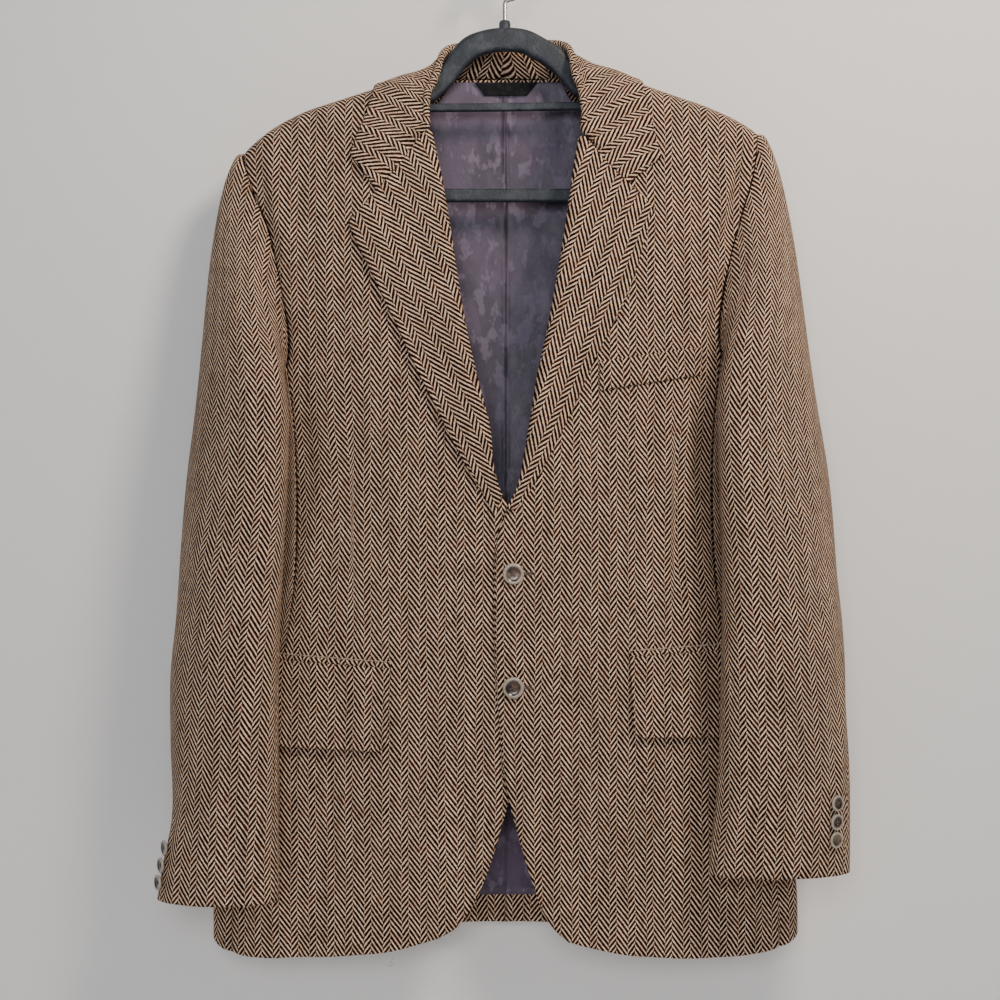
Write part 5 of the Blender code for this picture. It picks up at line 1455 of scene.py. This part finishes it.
def gather(parts):
    """Several loose shapes as one list of vertices and faces."""
    vertices, faces, start = [], [], 0
    for part_vertices, part_faces in parts:
        vertices.append(part_vertices)
        faces += [tuple(start + k for k in face) for face in part_faces]
        start += len(part_vertices)
    return np.concatenate(vertices), faces


def sewn_button(name, node, centre, facing, radius, twirl, seed):
    facing = unit(np.array(facing, dtype=float))
    across = unit(np.cross(facing, (0.0, 0.0, 1.0)))
    up = np.cross(across, facing)
    round_turn = np.linspace(0, 2 * math.pi, BUTTON_SPOKES, endpoint=False)
    spokes = np.concatenate([across * math.cos(a) + up * math.sin(a) for a in round_turn]).reshape(-1, 3)
    vertices = [centre + facing * radius * BUTTON_TURNING[0][1]]
    for share, height in BUTTON_TURNING[1:-1]:
        vertices += list(centre + spokes * radius * share + facing * radius * height)
    vertices.append(centre + facing * radius * BUTTON_TURNING[-1][1])
    rings = len(BUTTON_TURNING) - 2
    faces = [(0, 1 + (k + 1) % BUTTON_SPOKES, 1 + k) for k in range(BUTTON_SPOKES)]
    for i in range(rings - 1):
        for k in range(BUTTON_SPOKES):
            a = 1 + i * BUTTON_SPOKES + k
            b = 1 + i * BUTTON_SPOKES + (k + 1) % BUTTON_SPOKES
            faces.append((a, b, b + BUTTON_SPOKES, a + BUTTON_SPOKES))
    last = 1 + (rings - 1) * BUTTON_SPOKES
    faces += [(last + k, last + (k + 1) % BUTTON_SPOKES, len(vertices) - 1) for k in range(BUTTON_SPOKES)]
    finish = horn_finish(name + "_horn", seed)
    disc = solid(name, np.array(vertices), faces, finish)
    turned = disc.data.uv_layers.new(name="turned")
    out_share = np.linalg.norm(np.array(vertices) - centre, axis=1) / radius
    corner = np.zeros(len(disc.data.loops), dtype=int)
    disc.data.loops.foreach_get("vertex_index", corner)
    turned.data.foreach_set("uv", np.stack([out_share[corner], 0 * out_share[corner]], axis=1).ravel())
    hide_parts(node)
    holes = []
    stitches = []
    for k in range(4):
        angle = math.radians(45 + 90 * k + twirl)
        spot = centre + (across * math.cos(angle) + up * math.sin(angle)) * radius * HOLE_OUT * 1.3
        level = facing * radius * 0.25
        ring_path = [
            spot + level + (across * math.cos(a) + up * math.sin(a)) * radius * HOLE_RADIUS
            for a in np.linspace(0, 2 * math.pi, 12, endpoint=False)
        ]
        holes.append(tube(ring_path, radius * 0.022, 6, closed=True))
        if k < 2:
            opposite = math.radians(45 + 90 * (k + 2) + twirl)
            far = centre + (across * math.cos(opposite) + up * math.sin(opposite)) * radius * HOLE_OUT * 1.3
            for shift in (-0.35, 0.35):
                beside = (across * math.sin(angle) - up * math.cos(angle)) * shift * radius * 0.07
                line = []
                for t in np.linspace(0, 1, 9):
                    arch = 0.24 + 0.075 * math.sin(math.pi * t)
                    line.append(spot + (far - spot) * t + beside + facing * radius * arch)
                stitches.append(tube(line, radius * 0.03, 6))
    shank = [centre - facing * radius * 0.30, centre + facing * radius * 0.02]
    stitches.append(tube(shank, radius * 0.16, 12))
    vertices, faces = gather(holes + stitches)
    solid(name + "_thread", vertices, faces, twist)


for number, level in enumerate(FRONT_BUTTON_LEVELS, 1):
    seat = front(RIGHT, FRONT_BUTTON_OUT, level) + np.array([0, -FRONT_BUTTON_SHANK, 0])
    name = "front_button_%d" % number
    horn_from = (0.013 * number, 0.02, 0.0)
    sewn_button("horn_" + name, name, seat, (0, -1, 0), FRONT_BUTTON_RADIUS, 12.0 * number, horn_from)
for side in (LEFT, RIGHT):
    turn = CUFF_BUTTON_TURN[side]
    for number, level in enumerate(CUFF_BUTTON_LEVELS[side], 1):
        seat = ring(side, turn, level)
        ahead = ring(side, turn + 4, level) - ring(side, turn - 4, level)
        facing = unit(np.array([ahead[1], -ahead[0], 0.0]))
        if facing[0] * side < 0:
            facing = -facing
        seat = seat + facing * CUFF_BUTTON_SHANK
        name = "cuff_button_%s_%d" % (SIDES[side], number)
        seed = (0.017 * number, 0.011, 0.05 + 0.02 * side)
        sewn_button("horn_" + name, name, seat, facing, CUFF_BUTTON_RADIUS, 20.0 * number, seed)

# ---------------------------------------------------------------- the stitching
# Buttonholes worked in brown twist beside each front button, the beaded stitch lines that hold
# the jets, and one loose end of thread left hanging at the hem.

JET_STITCH = 3.2


def stitches_on(side, spots, width, radius, lift):
    """Short stitches laid on a front, each from one (out, level) to the next one's start."""
    parts = []
    for (out_0, level_0), (out_1, level_1) in spots:
        t = np.linspace(0, 1, 5)
        out = out_0 + (out_1 - out_0) * t
        level = level_0 + (level_1 - level_0) * t
        rise = lift + width * np.sin(np.pi * t)
        parts.append(tube(on_front(side, out, level, rise), radius, 6))
    return gather(parts)


for number, level in enumerate(FRONT_BUTTON_LEVELS, 1):
    spots = []
    for k in range(15):
        out = 10.5 + k * 0.95
        if k % 15 > 12:
            reach = 2.4
        else:
            reach = 1.5
        spots.append(((out, level + reach), (out + 0.25, level + 0.25)))
        spots.append(((out, level - reach), (out + 0.25, level - 0.25)))
    vertices, faces = stitches_on(RIGHT, spots, 0.25, 0.36, 0.3)
    solid("buttonhole_%d" % number, vertices, faces, twist)

JET_STITCH_ABOVE = 0.9
STITCH_GOES_IN = 0.12
STITCH_COMES_OUT = 0.72
jet_thread = thread_finish("jet_thread", (0.36, 0.26, 0.19), (0.62, 0.48, 0.37))
for side in (LEFT, RIGHT):
    top_inner, top_outer = FLAP[side][:2]
    spots = []
    count = int((top_outer[0] - top_inner[0]) / JET_STITCH)
    across = top_outer[0] - top_inner[0]
    rise = top_outer[1] - top_inner[1]
    for k in range(count):
        ends = [
            (top_inner[0] + across * share, top_inner[1] + rise * share + JET_HEIGHT + JET_STITCH_ABOVE)
            for share in ((k + STITCH_GOES_IN) / count, (k + STITCH_COMES_OUT) / count)
        ]
        spots.append(tuple(ends))
    vertices, faces = stitches_on(side, spots, 0.5, 0.55, 1.2)
    solid("jet_stitching_" + SIDES[side], vertices, faces, jet_thread)

loose = [
    (-104.0, -60.0, -945.0),
    (-106.5, -60.8, -949.0),
    (-105.0, -60.0, -952.5),
    (-107.5, -58.5, -954.5),
    (-110.0, -59.0, -953.0),
]
loose = np.array(loose)
fine = np.linspace(0, len(loose) - 1, 25)
loose = np.stack([np.interp(fine, np.arange(len(loose)), loose[:, k]) for k in range(3)], axis=1)
for _ in range(2):
    loose[1:-1] = (loose[:-2] + 2 * loose[1:-1] + loose[2:]) / 4
vertices, faces = tube(loose, 0.3, 6)
cream_thread = thread_finish("cream_thread", (0.4, 0.32, 0.24), (0.6, 0.5, 0.4))
solid("loose_thread", vertices, faces, cream_thread)

# ---------------------------------------------------------------- the hanger
# One moulding of slate grey plastic: an arched rail for the shoulders, a trouser bar joined to its
# ends by bends, a thin tie bar under the arch, and a short neck that takes the wire.

HANGER_ARCH = (
    (-214, -187, 7, 8),
    (-200, -177, 8.5, 10),
    (-160, -161, 9, 10),
    (-122, -148, 9, 9),
    (-86, -138, 9.5, 8),
    (-70, -128, 9.0, 5.8),
    (-59, -117.5, 8.8, 5.0),
    (-47, -101, 9.8, 5.6),
    (-34, -88, 11, 7.5),
    (-18, -82, 11, 7.5),
    (0, -80, 11, 7.5),
    (18, -82, 11, 7.5),
    (32, -89, 11, 7.5),
    (45, -97, 11, 7.5),
    (58.5, -111.5, 9.2, 5.2),
    (69, -123.5, 9.2, 6),
    (86, -134, 9.5, 8),
    (122, -143, 9, 9),
    (160, -156, 9, 10),
    (200, -171, 8.5, 10),
    (214, -181, 7, 8),
)
LOWER_BAR = (
    (-211, -184, 5.5, 5),
    (-214, -206, 5.5, 5),
    (-204, -224, 6, 5),
    (-184, -229.5, 6.3, 5),
    (-164, -230, 6.3, 5),
    (-130, -230, 6.3, 5),
    (0, -230, 6.3, 5),
    (130, -230, 6.3, 5),
    (164, -230, 6.3, 5),
    (184, -229.5, 6.3, 5),
    (204, -223, 6, 5),
    (213, -204, 5.5, 5),
    (211, -180, 5.5, 5),
)
UPPER_BAR = (
    (-118, -146, 3.8, 4),
    (0, -145, 3.8, 4),
    (118, -143, 3.8, 4),
)
NECK_RADIUS = 5.7
NECK_TOP = -62.0
NECK_BOTTOM = -84.0
WIRE_RADIUS = 2.3
STEM_X = -1.2
SLATE = (0.026, 0.032, 0.041)
SLATE_WORN = (0.062, 0.072, 0.088)

n = Nodes("slate_plastic", 0.42)
where = n.put("ShaderNodeTexCoord").outputs["Object"]
dimples = n.put("ShaderNodeTexVoronoi", feature="SMOOTH_F1")
n.feed(dimples.inputs["Vector"], where)
dimples.inputs["Scale"].default_value = 620.0
scuff = n.noise(where, 60.0, 4.0, 0.65)
colour = n.mix(n.ramp(scuff.outputs[0], 0.4, 0.7), SLATE, SLATE_WORN)
n.tree.links.new(colour, n.shader.inputs["Base Color"])
n.tree.links.new(n.do("ADD", 0.40, n.do("MULTIPLY", scuff.outputs[0], 0.25)), n.shader.inputs["Roughness"])
n.shader.inputs["Specular IOR Level"].default_value = 0.32
n.bump(n.do("ADD", dimples.outputs[0], n.do("MULTIPLY", scuff.outputs[0], 0.1)), 0.0005, 0.8)
slate = n.made


def rail(stations, steps, around=28):
    """A moulded rail with flat faces, soft corners and a raised rim along each face."""
    rows = np.array(stations, dtype=float)
    spacing = np.linalg.norm(np.diff(rows[:, :2], axis=0), axis=1)
    length = np.concatenate([[0], np.cumsum(spacing)])
    at = np.linspace(0, length[-1], steps)
    fine = np.stack([read(tuple(zip(length, rows[:, k])), 1, at) for k in range(4)], axis=1)
    heading = np.gradient(fine[:, :2], axis=0)
    heading = heading / np.linalg.norm(heading, axis=1, keepdims=True)
    turn = np.linspace(0, 2 * math.pi, around, endpoint=False)
    up = np.sign(np.sin(turn)) * np.abs(np.sin(turn)) ** 0.62
    deep = np.sign(np.cos(turn)) * np.abs(np.cos(turn)) ** 0.55
    sunk = 1 - 0.10 * np.exp(-(up / 0.62) ** 4)
    up = fine[:, 2:3] * up[None]
    deep = fine[:, 3:4] * (deep * sunk)[None]
    x = fine[:, 0:1] - heading[:, 1:2] * up
    z = fine[:, 1:2] + heading[:, 0:1] * up
    vertices = np.stack([x, deep, z], axis=-1).reshape(-1, 3)
    faces = []
    for i in range(steps - 1):
        for k in range(around):
            nxt = (k + 1) % around
            faces.append((i * around + k, i * around + nxt, (i + 1) * around + nxt, (i + 1) * around + k))
    faces.append(tuple(range(around))[::-1])
    faces.append(tuple(range((steps - 1) * around, steps * around)))
    return vertices, faces


neck_rows = [(0.9, NECK_BOTTOM), (1.0, -76.0), (0.98, -66.0), (0.94, -63.4), (0.82, -62.3), (0.5, NECK_TOP)]
neck_path = [(STEM_X, 0.0, height) for share, height in neck_rows]
neck = tube(neck_path, [NECK_RADIUS * share for share, height in neck_rows], 32)
vertices, faces = gather([rail(HANGER_ARCH, 260), rail(LOWER_BAR, 220), rail(UPPER_BAR, 90, 20), neck])
moulding = solid("plastic_hanger", vertices, faces, slate)
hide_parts("hanger")

# ---------------------------------------------------------------- the hook
# A bright steel wire held in the hanger's neck, where it can turn, bent into the hook whose inner
# top is the part's origin.

STEM_BOTTOM = -78.0
STEM_TOP = -46.5
BEND_START = math.radians(-52)
BEND_LEAD = 7.0
HOOK_END = math.radians(196)
HOOK_INNER_RADIUS = 20.0

n = Nodes("hook_wire", 0.26)
where = n.put("ShaderNodeTexCoord").outputs["Object"]
rubbed = n.noise(where, 90.0, 4.0, 0.65)
drawn = n.noise(where, 1400.0, 2.0, 0.6)
wire = n.mix(rubbed.outputs[0], (0.50, 0.50, 0.50), (0.72, 0.71, 0.69))
n.tree.links.new(wire, n.shader.inputs["Base Color"])
n.tree.links.new(n.do("ADD", 0.16, n.do("MULTIPLY", rubbed.outputs[0], 0.22)), n.shader.inputs["Roughness"])
n.shader.inputs["Metallic"].default_value = 1.0
n.bump(drawn.outputs[0], 0.00008, 0.4)
radius = HOOK_INNER_RADIUS + WIRE_RADIUS
low = np.array([STEM_X, 0.0, STEM_TOP])
high = np.array([radius * math.cos(BEND_START), 0.0, radius * math.sin(BEND_START) - HOOK_INNER_RADIUS])
lead = np.array([-math.sin(BEND_START), 0.0, math.cos(BEND_START)])
second = low + np.array([0.0, 0.0, BEND_LEAD])
third = high - lead * BEND_LEAD
path = [(STEM_X, 0.0, z) for z in np.linspace(STEM_BOTTOM, STEM_TOP, 12)]
for t in np.linspace(0, 1, 16)[1:]:
    rest = 1 - t
    path.append(low * rest ** 3 + second * 3 * t * rest ** 2 + third * 3 * t * t * rest + high * t ** 3)
for angle in np.linspace(BEND_START, HOOK_END, 70)[1:]:
    path.append((radius * math.cos(angle), 0.0, radius * math.sin(angle) - HOOK_INNER_RADIUS))
path = np.array(path)
steps_in = np.linalg.norm(path - path[-1], axis=1)
rounded = WIRE_RADIUS * np.sqrt(np.clip(1 - (1 - np.clip(steps_in / WIRE_RADIUS, 0, 1)) ** 2, 0.05, 1))
vertices, faces = tube(path, rounded, 24)
hook = solid("steel_hook", vertices, faces, n.made)
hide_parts("hanger_hook")

# ---------------------------------------------------------------- the studio
# A plain pale floor and, close behind, a pale wall seen only from the front, with a warm key light
# high on the right, a cool soft fill from the left and a low ambient light.

CAMERA_PLACE = (-0.0058, -1.5, -0.523)
CAMERA_LENS = 56.1


def board(name, corners, colour, hide_back):
    mesh = bpy.data.meshes.new(name)
    mesh.from_pydata(corners, [], [(0, 1, 2, 3)])
    piece = bpy.data.objects.new(name, mesh)
    bpy.context.scene.collection.objects.link(piece)
    n = Nodes(name + "_paint", 0.95)
    grain = n.noise(n.put("ShaderNodeTexCoord").outputs["Object"], 3.0, 3.0)
    pale = tuple(0.93 * part for part in colour)
    n.tree.links.new(n.mix(grain.outputs[0], pale, colour), n.shader.inputs["Base Color"])
    if hide_back:
        clear = n.put("ShaderNodeBsdfTransparent")
        choose = n.put("ShaderNodeMixShader")
        facing = n.put("ShaderNodeNewGeometry")
        n.tree.links.new(facing.outputs["Backfacing"], choose.inputs[0])
        n.tree.links.new(n.shader.outputs[0], choose.inputs[1])
        n.tree.links.new(clear.outputs[0], choose.inputs[2])
        n.tree.links.new(choose.outputs[0], n.tree.nodes["Material Output"].inputs[0])
    mesh.materials.append(n.made)
    return piece


board("floor", [(-4, -4, -1.35), (4, -4, -1.35), (4, 4, -1.35), (-4, 4, -1.35)], (0.82, 0.81, 0.80), False)
wall_corners = [(-3, 0.055, -1.35), (3, 0.055, -1.35), (3, 0.055, 1.2), (-3, 0.055, 1.2)]
wall = board("wall", wall_corners, (0.90, 0.89, 0.88), True)
wall.visible_shadow = False


def lamp(name, place, aim, size, power, colour):
    light = bpy.data.lights.new(name, "AREA")
    light.shape = "DISK"
    light.size = size
    light.energy = power
    light.color = colour
    made = bpy.data.objects.new(name, light)
    bpy.context.scene.collection.objects.link(made)
    made.location = place
    direction = mathutils.Vector(aim) - mathutils.Vector(place)
    made.rotation_euler = direction.to_track_quat("-Z", "Y").to_euler()
    return made


lamp("key", (0.66, -1.00, 0.52), (0.0, 0.0, -0.26), 0.42, 17.5, (1.0, 0.86, 0.72))
lamp("fill", (-0.12, -2.1, -0.16), (0.0, 0.0, -0.24), 0.8, 15.5, (0.92, 0.95, 1.0))
lamp("behind", (0.6, 2.4, 0.6), (0.0, 0.0, -0.5), 1.6, 22.0, (1.0, 0.97, 0.94))
world = bpy.data.worlds.new("studio")
world.use_nodes = True
world.node_tree.nodes["Background"].inputs["Color"].default_value = (0.93, 0.96, 1.0, 1.0)
world.node_tree.nodes["Background"].inputs["Strength"].default_value = 0.27
bpy.context.scene.world = world

lens = bpy.data.cameras.new("camera")
lens.lens = CAMERA_LENS
camera = bpy.data.objects.new("camera", lens)
camera.location = CAMERA_PLACE
camera.rotation_euler = (math.pi / 2, 0.0, 0.0)
bpy.context.scene.collection.objects.link(camera)
bpy.context.scene.camera = camera
